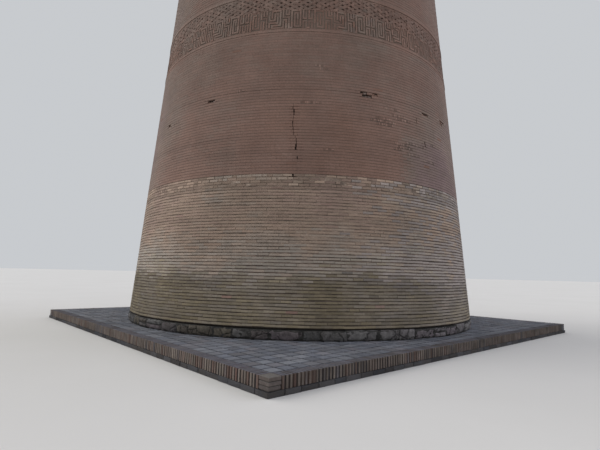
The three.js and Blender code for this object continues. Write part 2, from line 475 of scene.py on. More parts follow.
class Finish:
    """A procedural material under construction, with short calls for its nodes."""

    def __init__(self, name, roughness):
        self.material = bpy.data.materials.new(name)
        self.material.use_nodes = True
        self.tree = self.material.node_tree
        self.shader = self.tree.nodes["Principled BSDF"]
        self.shader.inputs["Roughness"].default_value = roughness
        self.shader.inputs["Specular IOR Level"].default_value = 0.25
        self.place = self.node("TexCoord").outputs["Object"]

    def node(self, kind, inputs=(), **settings):
        """A shader node with its settings and its inputs, each of them a value or another node's output."""
        node = self.tree.nodes.new(f"ShaderNode{kind}")
        for name, value in settings.items():
            setattr(node, name, value)
        for name, source in dict(inputs).items():
            self.plug(source, node.inputs[name])
        return node

    def plug(self, source, target):
        if isinstance(source, bpy.types.NodeSocket):
            self.tree.links.new(source, target)
        else:
            target.default_value = source

    def mark(self, name):
        return self.node("Attribute", attribute_name=name).outputs["Fac"]

    def noise(self, scale, detail=4.0, rough=0.55, stretch=None):
        place = self.place
        if stretch:
            place = self.node("Mapping", {"Vector": place, "Scale": stretch}).outputs["Vector"]
        inputs = {"Vector": place, "Scale": scale, "Detail": detail, "Roughness": rough}
        return self.node("TexNoise", inputs).outputs["Fac"]

    def math(self, operation, first, second):
        return self.node("Math", {0: first, 1: second}, operation=operation).outputs[0]

    def vector(self, operation, *values, output="Vector"):
        return self.node("VectorMath", enumerate(values), operation=operation).outputs[output]

    def scaled(self, colour, value):
        """A colour or vector multiplied by a value."""
        return self.node("VectorMath", {0: colour, "Scale": value}, operation="SCALE").outputs["Vector"]

    def spread(self, value, low, high, to_low=0.0, to_high=1.0):
        inputs = {"Value": value, "From Min": low, "From Max": high, "To Min": to_low, "To Max": to_high}
        return self.node("MapRange", inputs).outputs["Result"]

    def ramp(self, value, colours):
        node = self.node("ValToRGB", {"Fac": value})
        elements = node.color_ramp.elements
        while len(elements) < len(colours):
            elements.new(0.5)
        for i, colour in enumerate(colours):
            elements[i].position = i / (len(colours) - 1)
            elements[i].color = linear(*colour)
        return node.outputs["Color"]

    def mix(self, share, first, second):
        return self.node("Mix", {"Factor": share, 6: first, 7: second}, data_type="RGBA").outputs[2]

    def cell_edge(self, scale):
        """Distance to the edges of uneven cells, whose number per metre is the scale."""
        warp = self.node("TexNoise", {"Vector": self.place, "Scale": 14.0}).outputs["Color"]
        place = self.vector("ADD", self.place, self.scaled(warp, 0.06))
        cells = self.node("TexVoronoi", {"Vector": place, "Scale": scale}, feature="DISTANCE_TO_EDGE")
        return cells.outputs["Distance"]

    def facing_up(self, normal):
        """How far a normal points up, which is 1 on a level face."""
        return self.node("SeparateXYZ", {0: normal}).outputs["Z"]

    def round_normal(self):
        """The normal of the round wall that straight bricks make up, on their outer faces only."""
        normal = self.node("NewGeometry").outputs["Normal"]
        outward = self.vector("NORMALIZE", self.vector("MULTIPLY", self.place, (1.0, 1.0, 0.0)))
        slope = self.node("CombineXYZ", {"Z": self.facing_up(normal)}).outputs[0]
        facing = self.vector("DOT_PRODUCT", outward, normal, output="Value")
        share = self.spread(facing, 0.95, 0.97)
        inputs = {"Factor": share, 4: normal, 5: self.vector("ADD", outward, slope)}
        return self.vector("NORMALIZE", self.node("Mix", inputs, data_type="VECTOR").outputs[1])

    def bump(self, height, distance, strength, normal=None):
        inputs = {"Distance": distance, "Strength": strength, "Height": height}
        if normal is not None:
            inputs["Normal"] = normal
        return self.node("Bump", inputs).outputs["Normal"]

    def done(self, colour, normal):
        self.plug(colour, self.shader.inputs["Base Color"])
        self.plug(normal, self.shader.inputs["Normal"])
        return self.material


def masonry(
    name,
    colours,
    damp_colour=None,
    roughness=0.92,
    grain=0.0016,
    patch=0.16,
    gain=1.0,
    mottle=0.0,
    dust_and_sky_light=None,
    cracks=0.0,
    rounded=False,
):
    """Fired brick, stone or mortar: colours by tint, brightness by tone, damp patches, stains and pits.

    Mottle adds blotches within a block, dust is a colour on faces that look up, partly settled dirt and
    partly painted light from the sky, and cracks is the number of crack-bound pieces per metre. Rounded is
    for pieces of the round shaft."""
    finish = Finish(name, roughness)
    drift = finish.spread(finish.noise(0.75, 3.0), 0.35, 0.65, -0.1, 0.1)
    shift = finish.math("ADD", drift, finish.spread(finish.noise(2.3), 0.3, 0.7, -0.08, 0.08))
    colour = finish.ramp(finish.math("ADD", finish.mark("tint"), shift), colours)
    grey = finish.spread(finish.noise(55.0, 5.0, 0.65), 0.3, 0.7, 0.86, 1.12)
    stains = finish.spread(finish.noise(1.3, 5.0, 0.6, (1.0, 1.0, 1.3)), 0.3, 0.7, 1 - patch, 1 + patch)
    streaks = finish.spread(finish.noise(7.0, 4.0, 0.6, (1.0, 1.0, 0.5)), 0.3, 0.7, 0.96, 1.04)
    factors = [grey, stains, streaks]
    if mottle:
        factors.append(finish.spread(finish.noise(17.0, 3.0, 0.6), 0.35, 0.65, 1 - mottle, 1 + mottle))
    tone = finish.mark("tone")
    for factor in [*factors, gain]:
        tone = finish.math("MULTIPLY", tone, factor)
    colour = finish.scaled(colour, tone)
    # Faces that look up take the top colour: partly settled dirt and partly painted light from the sky
    if dust_and_sky_light:
        normal = finish.node("NewGeometry").outputs["Normal"]
        share = finish.spread(finish.facing_up(normal), 0.6, 0.9, 0.0, 0.85)
        colour = finish.mix(share, colour, finish.scaled(dust_and_sky_light[:3], finish.math("MULTIPLY", grey, stains)))
    damp = finish.math("MULTIPLY", finish.mark("damp"), finish.spread(finish.noise(5.5), 0.38, 0.62))
    colour = finish.mix(damp, colour, damp_colour or SOOT)
    pits = finish.spread(finish.noise(160.0, 3.0, 0.6), 0.35, 0.55)
    normal = finish.bump(pits, grain, 0.6, finish.round_normal() if rounded else None)
    normal = finish.bump(finish.noise(38.0, 4.0, 0.6), 3 * grain, 0.5, normal)
    if cracks:
        edge = finish.spread(finish.cell_edge(cracks), 0.0, 0.06)
        edge = finish.math("MAXIMUM", edge, finish.spread(finish.noise(6.0, 2.0), 0.5, 0.6))
        colour = finish.scaled(colour, finish.spread(edge, 0.0, 1.0, 0.5, 1.0))
        normal = finish.bump(edge, 3 * grain, 0.8, normal)
    return finish.done(colour, normal)


OLIVE = (153, 140, 116)
BUFF = (151, 142, 133)
TAN = (162, 141, 125)
PINK = (158, 134, 123)
RED = (150, 118, 104)
DUSK = (150, 131, 120)
ROSE = (153, 124, 112)
RUSSET = (152, 120, 106)
MOSS = linear(100, 93, 76)
SOOT = linear(70, 64, 58)
VIOLET = (150, 127, 124)
PALE_BRICKS = [OLIVE, BUFF, TAN, PINK, RED]
GREY_BRICKS = [(149, 141, 133), (150, 140, 135), (152, 139, 132), (154, 137, 128)]
DARK_BRICKS = [VIOLET, DUSK, ROSE, RUSSET, RED]
LIGHT_MORTARS = [(128, 114, 102), (138, 121, 110)]
PLAIN_MORTARS = [(142, 122, 111), (150, 126, 115)]
GROUND_MORTARS = [(124, 108, 98), (136, 119, 107)]
WELL_BRICKS = [(118, 102, 90), (132, 112, 96)]
FOOTING_STONES = [(78, 78, 80), (112, 110, 108), (98, 90, 94), (90, 84, 82), (106, 99, 88)]
FOOTING_JOINTS = [(50, 48, 46), (76, 74, 72)]
KERB_BRICKS = [(106, 104, 108), (126, 113, 106), (134, 124, 116), (120, 101, 93), (110, 88, 81)]
KERB_JOINTS = [(52, 50, 54), (69, 61, 58), (88, 71, 64)]
CORNER_JOINTS = [(66, 62, 60), (84, 77, 72)]
BASE_STONES = [(64, 65, 70), (80, 79, 82), (72, 69, 69)]
PAVING_TILES = [(104, 107, 116), (116, 119, 128), (121, 123, 129), (117, 115, 121)]
PAVING_JOINTS = [(46, 47, 52), (60, 59, 62)]
# Colours of faces that look up: partly settled dirt and partly painted light from the sky
PAVING_DUST_AND_SKY_LIGHT = linear(101, 103, 115)
CORNER_DUST_AND_SKY_LIGHT = linear(113, 109, 105)
JOINT_DUST_AND_SKY_LIGHT = linear(86, 86, 94)

light_brick = masonry("light_brick", PALE_BRICKS, MOSS, rounded=True)
grey_brick = masonry("grey_brick", GREY_BRICKS, MOSS, rounded=True)
plain_brick = masonry("plain_brick", DARK_BRICKS, patch=0.12, gain=0.74, rounded=True)
ornament_brick = masonry("ornament_brick", DARK_BRICKS, gain=0.74, rounded=True)
light_mortar = masonry("light_mortar", LIGHT_MORTARS, grain=0.003, gain=0.62, mottle=0.25, rounded=True)
plain_mortar = masonry("plain_mortar", PLAIN_MORTARS, grain=0.002, gain=0.66, rounded=True)
# The ground mortar is darker than the plain mortar: partly dirt and partly painted shade in the deep ground
# behind the ornament
ground_mortar = masonry("ground_mortar", GROUND_MORTARS, grain=0.003, gain=0.5, rounded=True)
well_brick = masonry("well_brick", WELL_BRICKS, grain=0.004, mottle=0.2)
footing_stone = masonry("footing_stone", FOOTING_STONES, grain=0.008, patch=0.25, mottle=0.28, cracks=5.5)
footing_joint = masonry("footing_joint", FOOTING_JOINTS, grain=0.006, mottle=0.3)
kerb_brick = masonry("kerb_brick", KERB_BRICKS, gain=0.92, dust_and_sky_light=PAVING_DUST_AND_SKY_LIGHT)
corner_brick = masonry("corner_brick", KERB_BRICKS, gain=0.68, mottle=0.14, dust_and_sky_light=CORNER_DUST_AND_SKY_LIGHT)
corner_joint = masonry("corner_joint", CORNER_JOINTS, grain=0.003)
kerb_joint = masonry("kerb_joint", KERB_JOINTS, grain=0.003, dust_and_sky_light=JOINT_DUST_AND_SKY_LIGHT)
base_stone = masonry("base_stone", BASE_STONES, grain=0.004)
paving_tile = masonry("paving_tile", PAVING_TILES, roughness=0.85, grain=0.001, gain=0.9)
paving_joint = masonry("paving_joint", PAVING_JOINTS, grain=0.003)


# Brick tones: how bright each brick is, which colour of the range it has, and how damp it is

def tones(count, spread):
    return np.clip(1 + rng.normal(0, spread, count), 0.6, 1.35)


def tints(count, centre, spread, odd_share, odd_tint):
    """Places in the range of colours, with a share of odd bricks of another colour."""
    tint = centre + rng.normal(0, spread, count)
    odd = rng.uniform(size=count) < odd_share
    tint[odd] = odd_tint
    return tint


def marks(count, spread, most_damp, tint_range=(0, 1)):
    """Tone, tint and damp of blocks that differ by chance only."""
    return tones(count, spread), rng.uniform(*tint_range, count), rng.uniform(0, most_damp, count)


# Damage by its height above the paving and its angle from the photographed side: what lies within 60
# degrees of that side follows the photograph, and the rest is of the same kinds

# The crack's height, angle and half width, from its top down
CRACK = [
    (2.95, -2.5, 0.0),
    (2.88, -2.7, 0.004),
    (2.80, -2.4, 0.005),
    (2.72, -2.6, 0.0025),
    (2.66, -2.7, 0.005),
    (2.60, -2.5, 0.004),
    (2.53, -2.4, 0.0025),
    (2.50, -2.0, 0.0015),
    (2.45, -1.6, 0.003),
    (2.40, -1.5, 0.005),
    (2.35, -1.6, 0.01),
    (2.32, -1.7, 0.008),
    (2.29, -1.3, 0.0),
    (2.24, -1.3, 0.0),
    (2.20, -1.2, 0.004),
    (2.16, -1.1, 0.0),
]
# Holes: angle, height, width and how many courses high
VOIDS = [
    (17.7, 3.15, 0.10, 1),
    (21.3, 3.15, 0.09, 1),
    (18.6, 3.11, 0.15, 1),
    (-28.5, 3.09, 0.14, 1),
    (41.8, 3.08, 0.15, 1),
    (53.8, 3.13, 0.19, 1),
    (53.0, 3.09, 0.10, 1),
    (37.0, 2.95, 0.012, 2),
    (40.4, 2.61, 0.02, 2),
    (-49.2, 2.93, 0.08, 1),
    (-2.2, 1.985, 0.018, 1),
    (118.0, 2.70, 0.13, 1),
    (165.0, 3.30, 0.12, 1),
    (-140.0, 3.05, 0.14, 1),
    (-101.0, 2.55, 0.05, 2),
    (95.0, 1.94, 0.10, 1),
]
# Patches of broken bricks, in the same order
CHIPS = [
    (23.5, 2.79, 0.16, 3),
    (30.5, 2.90, 0.12, 2),
    (5.4, 3.46, 0.07, 2),
    (-44.0, 2.91, 0.10, 2),
    (2.0, 2.96, 0.10, 1),
    (27.2, 2.99, 0.04, 1),
    (35.4, 2.55, 0.20, 1),
    (31.0, 2.52, 0.10, 2),
    (46.0, 2.64, 0.16, 1),
    (29.0, 2.44, 0.08, 1),
    (34.0, 2.40, 0.12, 1),
    (41.0, 2.35, 0.10, 1),
    (8.0, 2.32, 0.03, 1),
    (-47.0, 3.34, 0.03, 1),
    (-34.0, 3.87, 0.03, 1),
    (-18.4, 3.14, 0.09, 1),
    (150.0, 2.60, 0.20, 3),
    (-110.0, 3.50, 0.15, 2),
]
# Darker courses of the plain zone with the angles that they run between, and the height of a darker bed
# joint of the pale zone
DARK_COURSES = [(3.15, -200, 45), (2.49, -200, -22)]
PALE_ZONE_BED = 0.97


def towards_left(side):
    """0 in the middle of the photographed side, and 1 well round to its left."""
    return np.interp(-side, [12, 38], [0.0, 1.0])


def dark_share(above, side):
    """How much of a dark course there is at a height above the paving and a side, from 0 to 1."""
    share = np.zeros(np.broadcast(above, side).shape)
    for height, start, stop in DARK_COURSES:
        near = np.abs(above - height) < COURSE_HEIGHT / 2
        ends = [start - 8, start, stop, stop + 8]
        share = np.maximum(share, near * np.interp(side, ends, [0, 1, 1, 0]))
    return share


def crack_at(height):
    """The crack's angle and half width at each height, with no width beyond its ends."""
    above = np.asarray(height) - PAVING_TOP
    heights, angles, half_widths = np.array(CRACK[::-1]).T
    angle = np.interp(above, heights, angles)
    return PHOTO_SIDE + np.radians(angle), np.interp(above, heights, half_widths)


def places_in(damage, edges):
    """Each place's angle and width, its first row and the row after its last, in a wall of these edges."""
    pitch = edges[1] - edges[0]
    for angle, height, width, rows in damage:
        first = round(float((height + PAVING_TOP - edges[0]) / pitch - rows / 2))
        yield math.radians(angle), width, first, first + rows


def opened_core(edges, recess):
    """Radii and tones of the mortar at each course's edge, set back and dark in the crack and the voids."""
    radii = even_radii(shaft_radius(edges) - recess, SHAFT_SIDES)
    angles = side_angles(SHAFT_SIDES)
    reach = 2 * math.pi / SHAFT_SIDES
    crack_angle, crack_half = crack_at(edges)
    near = np.abs(wrapped(angles[None] - crack_angle[:, None])) < 0.7 * reach
    opened = near & (crack_half > 0.001)[:, None]
    for angle, width, first, after in places_in(VOIDS, edges):
        if first < 0 or after >= len(edges):
            continue
        arc = np.abs(wrapped(angles - PHOTO_SIDE - angle))
        opened[first : after + 1] |= arc < width / 2 / radii[0].mean() + reach / 2
    # Painted shade: the mortar at the back of the crack and the voids is made darker
    return np.where(opened, radii - POCKET_DEPTH, radii), np.where(opened, 0.5, 1.0)


def open_damage(courses):
    """Cuts the crack and the voids out of the bricks."""
    angle, half = crack_at(courses.middle())
    ragged = half * rng.uniform(0.6, 1.4, len(half))
    courses.cut(angle, np.where(half > 0.001, ragged, 0.0))
    for angle, width, first, after in places_in(VOIDS, courses.edges):
        lost = (courses.row >= first) & (courses.row < after)
        gap = np.where(lost, width * rng.uniform(0.85, 1.1, len(lost)), 0.0)
        courses.cut(PHOTO_SIDE + angle, gap / 2)


def add_broken_bricks(piece, courses, material):
    """The lower parts of the bricks that broke off in the wider voids, as rough ledges."""
    for angle, width, first, after in places_in(VOIDS, courses.edges):
        if width < 0.03 or first < 0 or after >= len(courses.edges):
            continue
        levels = courses.edges[first:after]
        radius = float(shaft_radius(levels[0]))
        parts = max(1, round(width / 0.045))
        start = (PHOTO_SIDE + angle) * radius - width / 2
        left = start + width * np.tile(np.arange(parts) / parts, len(levels))
        foot = np.repeat(levels, parts)
        count = len(left)
        points = blocks(
            left,
            left + width / parts * rng.uniform(0.8, 1.0, count),
            foot + 0.002,
            foot + COURSE_HEIGHT * rng.uniform(0.35, 0.85, count),
            -rng.uniform(0.004, 0.014, count),
            BRICK_DEPTH,
            arris=0.003,
            wobble=0.006,
        )
        piece.add(round_wall(points, radius), material, tones(count, 0.08), rng.uniform(0.1, 0.9, count))


def chipped(courses):
    """Which bricks lie in a patch of chipped ones."""
    found = np.zeros(len(courses.row), bool)
    for angle, width, first, after in places_in(CHIPS, courses.edges):
        offset = wrapped(courses.angle() - PHOTO_SIDE - angle) * courses.radius
        half = (courses.right - courses.left) / 2
        reached = np.abs(offset) < (width / 2 + half)
        found |= (courses.row >= first) & (courses.row < after) & reached
    return found


# The plinth

def plinth_side(points, side):
    """Places wall measure on one side of the plinth: 0 faces -Y, and each next side a quarter turn on."""
    turn = side * math.pi / 2
    along = points[..., 0]
    out = points[..., 2]
    x = along * math.cos(turn) + out * math.sin(turn)
    y = along * math.sin(turn) - out * math.cos(turn)
    return np.stack([x, y, points[..., 1]], axis=-1)


def slab(piece, half, low, high, material):
    """A plain square body behind a facing of blocks."""
    points = blocks(np.array([-half]), half, -half, half, high, high - low)
    piece.add(points, material)


def make_base_course():
    piece = Piece("base_course_blocks")
    low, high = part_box("plinth_base_course")
    slab(piece, high.x - BASE_RECESS, low.z, high.z - 0.0015, paving_joint)
    count = BASE_BLOCKS
    width = 2 * high.x / count
    for side in range(4):
        cuts = -high.x + width * (np.arange(count) + rng.uniform(-0.15, 0.15, count))
        cuts[0] = -high.x
        ends = np.append(cuts[1:], high.x)
        points = blocks(
            cuts + BASE_JOINT * rng.uniform(0, 1, count),
            ends - BASE_JOINT * rng.uniform(1, 2, count),
            low.z,
            high.z - rng.uniform(0.0005, 0.003, count),
            high.x - rng.uniform(0, 0.006, count),
            BASE_BLOCK_DEPTH,
            arris=0.004,
            wobble=0.006,
        )
        piece.add(plinth_side(points, side), base_stone, *marks(count, 0.22, 0.8))
    piece.finish("base_course", ["plinth_base_course"])


def make_kerb(node, side):
    """Bricks on edge, side by side, with wide dark joints that show on the outer face and on top."""
    piece = Piece(f"{node}_bricks")
    half = cad_high.x - BASE_PROUD
    low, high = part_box(node)
    depth = min(high.x - low.x, high.y - low.y)
    inner = half - depth
    count = round(2 * inner / KERB_PITCH)
    pitch = 2 * inner / count
    left = -inner + pitch * (np.arange(count) + 0.5) - KERB_BRICK_WIDTH / 2
    left = left + rng.normal(0, 0.001, count)
    right = left + KERB_BRICK_WIDTH * rng.uniform(0.88, 1.12, count)
    core_top = high.z - KERB_CORE_DROP
    core_face = half - KERB_CORE_INSET
    body = blocks(np.array([-inner]), inner, low.z, core_top, core_face, depth - KERB_CORE_INSET)
    piece.add(plinth_side(body, side), kerb_joint)
    joints = blocks(
        np.append(-inner, right - 0.001),
        np.append(left + 0.001, inner),
        low.z,
        high.z - rng.uniform(0.0025, 0.005, count + 1),
        half - KERB_RECESS * rng.uniform(0.7, 1.3, count + 1),
        depth - KERB_RECESS * 1.3,
    )
    tone = tones(count + 1, 0.2)
    tint = np.clip(rng.normal(0.3, 0.25, count + 1), 0, 1)
    piece.add(plinth_side(joints, side), kerb_joint, tone, tint)
    points = blocks(
        left,
        right,
        low.z + 0.001,
        high.z - rng.uniform(0, 0.0015, count),
        half - rng.uniform(0, 0.003, count),
        depth - 0.004,
        arris=0.0016,
        wobble=0.0014,
    )
    tint = rng.choice([0.1, 0.35, 0.5, 0.7, 0.95], count, p=[0.1, 0.28, 0.4, 0.19, 0.03])
    tone = tones(count, 0.09)
    tint = np.clip(tint + rng.normal(0, 0.05, count), 0, 1)
    damp = rng.uniform(0, 0.3, count)
    # Painted shade: the bricks of this kerb side are made darker and mixed more with the dark damp colour
    if side == SHADED_KERB_SIDE:
        tone *= KERB_SHADE_TONE
        damp += KERB_SHADE_DARKENING
    piece.add(plinth_side(points, side), kerb_brick, tone, tint, damp)
    piece.finish("kerb_brick", [node])


def make_corner(node):
    """Flat square bricks stacked with dark joints between them."""
    piece = Piece(f"{node}_bricks")
    low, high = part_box(node)
    pitch = (high.z - low.z) / CORNER_BRICKS
    body = blocks(
        np.array([low.x + KERB_RECESS]),
        high.x - KERB_RECESS,
        low.y + KERB_RECESS,
        high.y - KERB_RECESS,
        high.z - CORNER_JOINT,
        high.z - low.z - CORNER_JOINT,
    )
    piece.add(body, corner_joint)
    for i in range(CORNER_BRICKS):
        height = pitch - CORNER_JOINT
        foot = high.z - (i + 1) * pitch + CORNER_JOINT - 0.0005
        worn = rng.uniform(0.0005, 0.005, 4)
        rings = []
        for inset, level in [(0.003, height), (0.0, height - 0.003), (0.0, 0.002), (0.002, 0.0)]:
            x = np.array([low.x + worn[0] + inset, high.x - worn[1] - inset])
            y = np.array([low.y + worn[2] + inset, high.y - worn[3] - inset])
            rings.append([(x[a], y[b], foot + level) for a, b in ((0, 0), (1, 0), (1, 1), (0, 1))])
        points = np.array(rings).reshape(1, -1, 3)
        points = points + rng.uniform(-0.0005, 0.0005, points.shape)
        piece.add(points, corner_brick, *marks(1, 0.08, 0.3, (0.0, 0.15)))
    piece.finish("kerb_brick", [node])


def make_paving():
    """Small square tiles in straight rows, left out where the footing stands on them."""
    piece = Piece("paving_tiles")
    low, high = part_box("plinth_paving")
    slab(piece, high.x, low.z, high.z - TILE_RECESS, paving_joint)
    rows = round((high.x - low.x) / TILE_PITCH)
    pitch = (high.x - low.x) / rows
    place = low.x + pitch * np.arange(rows)
    left, near = (grid.ravel() for grid in np.meshgrid(place, place))
    reach = np.hypot(np.abs(left + pitch / 2) + pitch / 2, np.abs(near + pitch / 2) + pitch / 2)
    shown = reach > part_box("stone_footing")[1].x
    left, near = left[shown], near[shown]
    count = len(left)
    slip = rng.normal(0, 0.0012, (2, count))
    points = blocks(
        left + TILE_JOINT / 2 + slip[0],
        left + pitch - TILE_JOINT / 2 + slip[0],
        near + TILE_JOINT / 2 + slip[1],
        near + pitch - TILE_JOINT / 2 + slip[1],
        high.z - rng.uniform(0, 0.0014, count),
        TILE_RECESS + 0.006,
        arris=0.0014,
        wobble=0.0012,
    )
    piece.add(points, paving_tile, *marks(count, 0.11, 0.3))
    piece.finish("paving_tile", ["plinth_paving"])


# The footing

def rough_block_quads():
    """Faces of a block whose front and back are grids of points, joined round the edge."""
    across, up = FOOTING_GRID
    columns, rows = across + 1, up + 1
    back = columns * rows
    quads = []
    for r in range(up):
        for c in range(across):
            a = r * columns + c
            quads.append((a, a + 1, a + columns + 1, a + columns))
            quads.append((back + a + columns, back + a + columns + 1, back + a + 1, back + a))
    rim = list(range(columns))
    rim += [r * columns + across for r in range(1, rows)]
    rim += [up * columns + c for c in range(across - 1, -1, -1)]
    rim += [r * columns for r in range(up - 1, 0, -1)]
    for i, a in enumerate(rim):
        b = rim[(i + 1) % len(rim)]
        quads.append((a, back + a, back + b, b))
    return np.array(quads)


def rough_blocks(left, right, low, high, face):
    """Corners of quarried blocks: a rough, tilted front with ragged edges and leaning ends."""
    count = len(left)
    across, up = FOOTING_GRID
    s, t = np.meshgrid(np.linspace(0, 1, across + 1), np.linspace(0, 1, up + 1))
    s, t = s.ravel(), t.ravel()
    rim = (s == 0) | (s == 1) | (t == 0) | (t == 1)
    dome = 1 - np.maximum(np.abs(2 * s - 1) ** 6, np.abs(2 * t - 1) ** 4)
    bulge = FOOTING_BULGE
    tilt = rng.uniform(-1, 1, (2, count, 1)) * bulge
    front = face[:, None] - bulge * (1 - dome) + tilt[0] * (s - 0.5) + tilt[1] * (t - 0.5) - 0.5 * bulge
    front = front + rng.normal(0, FOOTING_ROUGHNESS, front.shape)
    front = np.minimum(np.where(rim, front - 0.5 * bulge, front), face[:, None])
    ragged = np.where(rim, rng.uniform(-1, 1, (2, *front.shape)) * 0.004, 0)
    lean = rng.uniform(-0.02, 0.02, count)[:, None] * (t - 0.5)
    next_lean = np.roll(lean, -1, axis=0)
    along = left[:, None] + s * (right - left)[:, None] + (1 - s) * lean + s * next_lean + ragged[0]
    rise = low[:, None] + t * (high - low)[:, None] + ragged[1]
    rise = np.clip(rise, low.min(), high.max())
    back = np.repeat((face - FOOTING_DEPTH)[:, None], len(s), axis=1)
    rings = [np.stack([along, rise, out], axis=-1) for out in (front, back)]
    return np.concatenate(rings, axis=1)


def make_footing():
    """One course of rough blocks of uneven length, some of them made up of two flat stones."""
    piece = Piece("footing_blocks")
    low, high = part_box("stone_footing")
    reach = high.x
    body = reach - FOOTING_RECESS + rng.uniform(-0.004, 0.004, (4, FOOTING_SIDES))
    levels = np.linspace(low.z, high.z - 0.008, 4)
    piece.add_turned(body, levels, footing_joint, tint=rng.uniform(0, 1, body.shape))
    shares = rng.uniform(0.55, 1.45, FOOTING_BLOCKS)
    ends = np.concatenate([[0], np.cumsum(shares)]) / shares.sum() * 2 * math.pi * reach
    stones = []
    for left, right in zip(ends[:-1], ends[1:]):
        gap = rng.uniform(0.001, 0.004)
        top = high.z - rng.uniform(0.0, 0.018)
        if rng.uniform() < 0.15:
            bed = low.z + rng.uniform(0.35, 0.65) * (top - low.z)
            stones.append((left + gap, right - gap, low.z + 0.001, bed - 0.003))
            stones.append((left + gap, right - gap, bed + 0.003, top))
        else:
            stones.append((left + gap, right - gap, low.z + 0.001, top))
    left, right, foot, top = np.array(stones).T
    count = len(stones)
    face = reach - rng.uniform(0, 0.008, count)
    points = rough_blocks(left, right, foot, top, face)
    points = round_wall(points, reach, np.zeros_like)
    side = side_of((left + right) / 2 / reach)
    tone, tint, damp = marks(count, 0.16, 0.5)
    tone *= np.interp(side, [10, 30, 80, 110], [1.04, 1.45, 1.45, 1.04])
    tint *= np.interp(side, [10, 30, 80, 110], [1.0, 0.5, 0.5, 1.0])
    piece.add(points, footing_stone, tone, tint, damp, rough_block_quads())
    piece.finish("footing_stone", ["stone_footing"], smooth=True)


# The shaft

# Width of the end joints and share of pale bricks in the broken courses at the top of the pale zone,
# from the top course down, and what holds below them
WORN_JOINTS = np.array([0.007, 0.009, 0.009, 0.006, 0.0])
PALE_SHARES = np.array([0.65, 0.5, 0.3, 0.1, 0.0])

# The pale zone is damp and olive at its foot, greyer and brighter above that, and tan from half way up
LIGHT_HEIGHTS = [0.0, 0.28, 0.42, 0.55, 0.62, 0.85, 1.05, 1.3, 1.55, 1.9]
LIGHT_TONES = [0.82, 0.94, 0.87, 0.84, 1.15, 1.05, 0.9, 0.84, 0.9, 0.95]
LIGHT_TINTS = [0.0, 0.02, 0.04, 0.07, 0.2, 0.26, 0.37, 0.53, 0.57, 0.6]

# How far down the damp foot's upper edge sinks round the photographed side, how dark the foot is there
# and how much less olive
DAMP_SIDES = [-33, -22, -12, 0, 7, 15, 27, 37, 60]
DAMP_SINKS = [-0.02, 0.01, 0.03, 0.0, -0.06, -0.05, -0.03, 0.03, 0.03]
DAMP_TONES = [0.72, 0.98, 1.04, 1.0, 0.77, 0.93, 0.92, 1.0, 1.0]
DAMP_TINTS = [0.0, 0.06, 0.08, -0.04, -0.02, 0.02, 0.03, 0.0, -0.1]


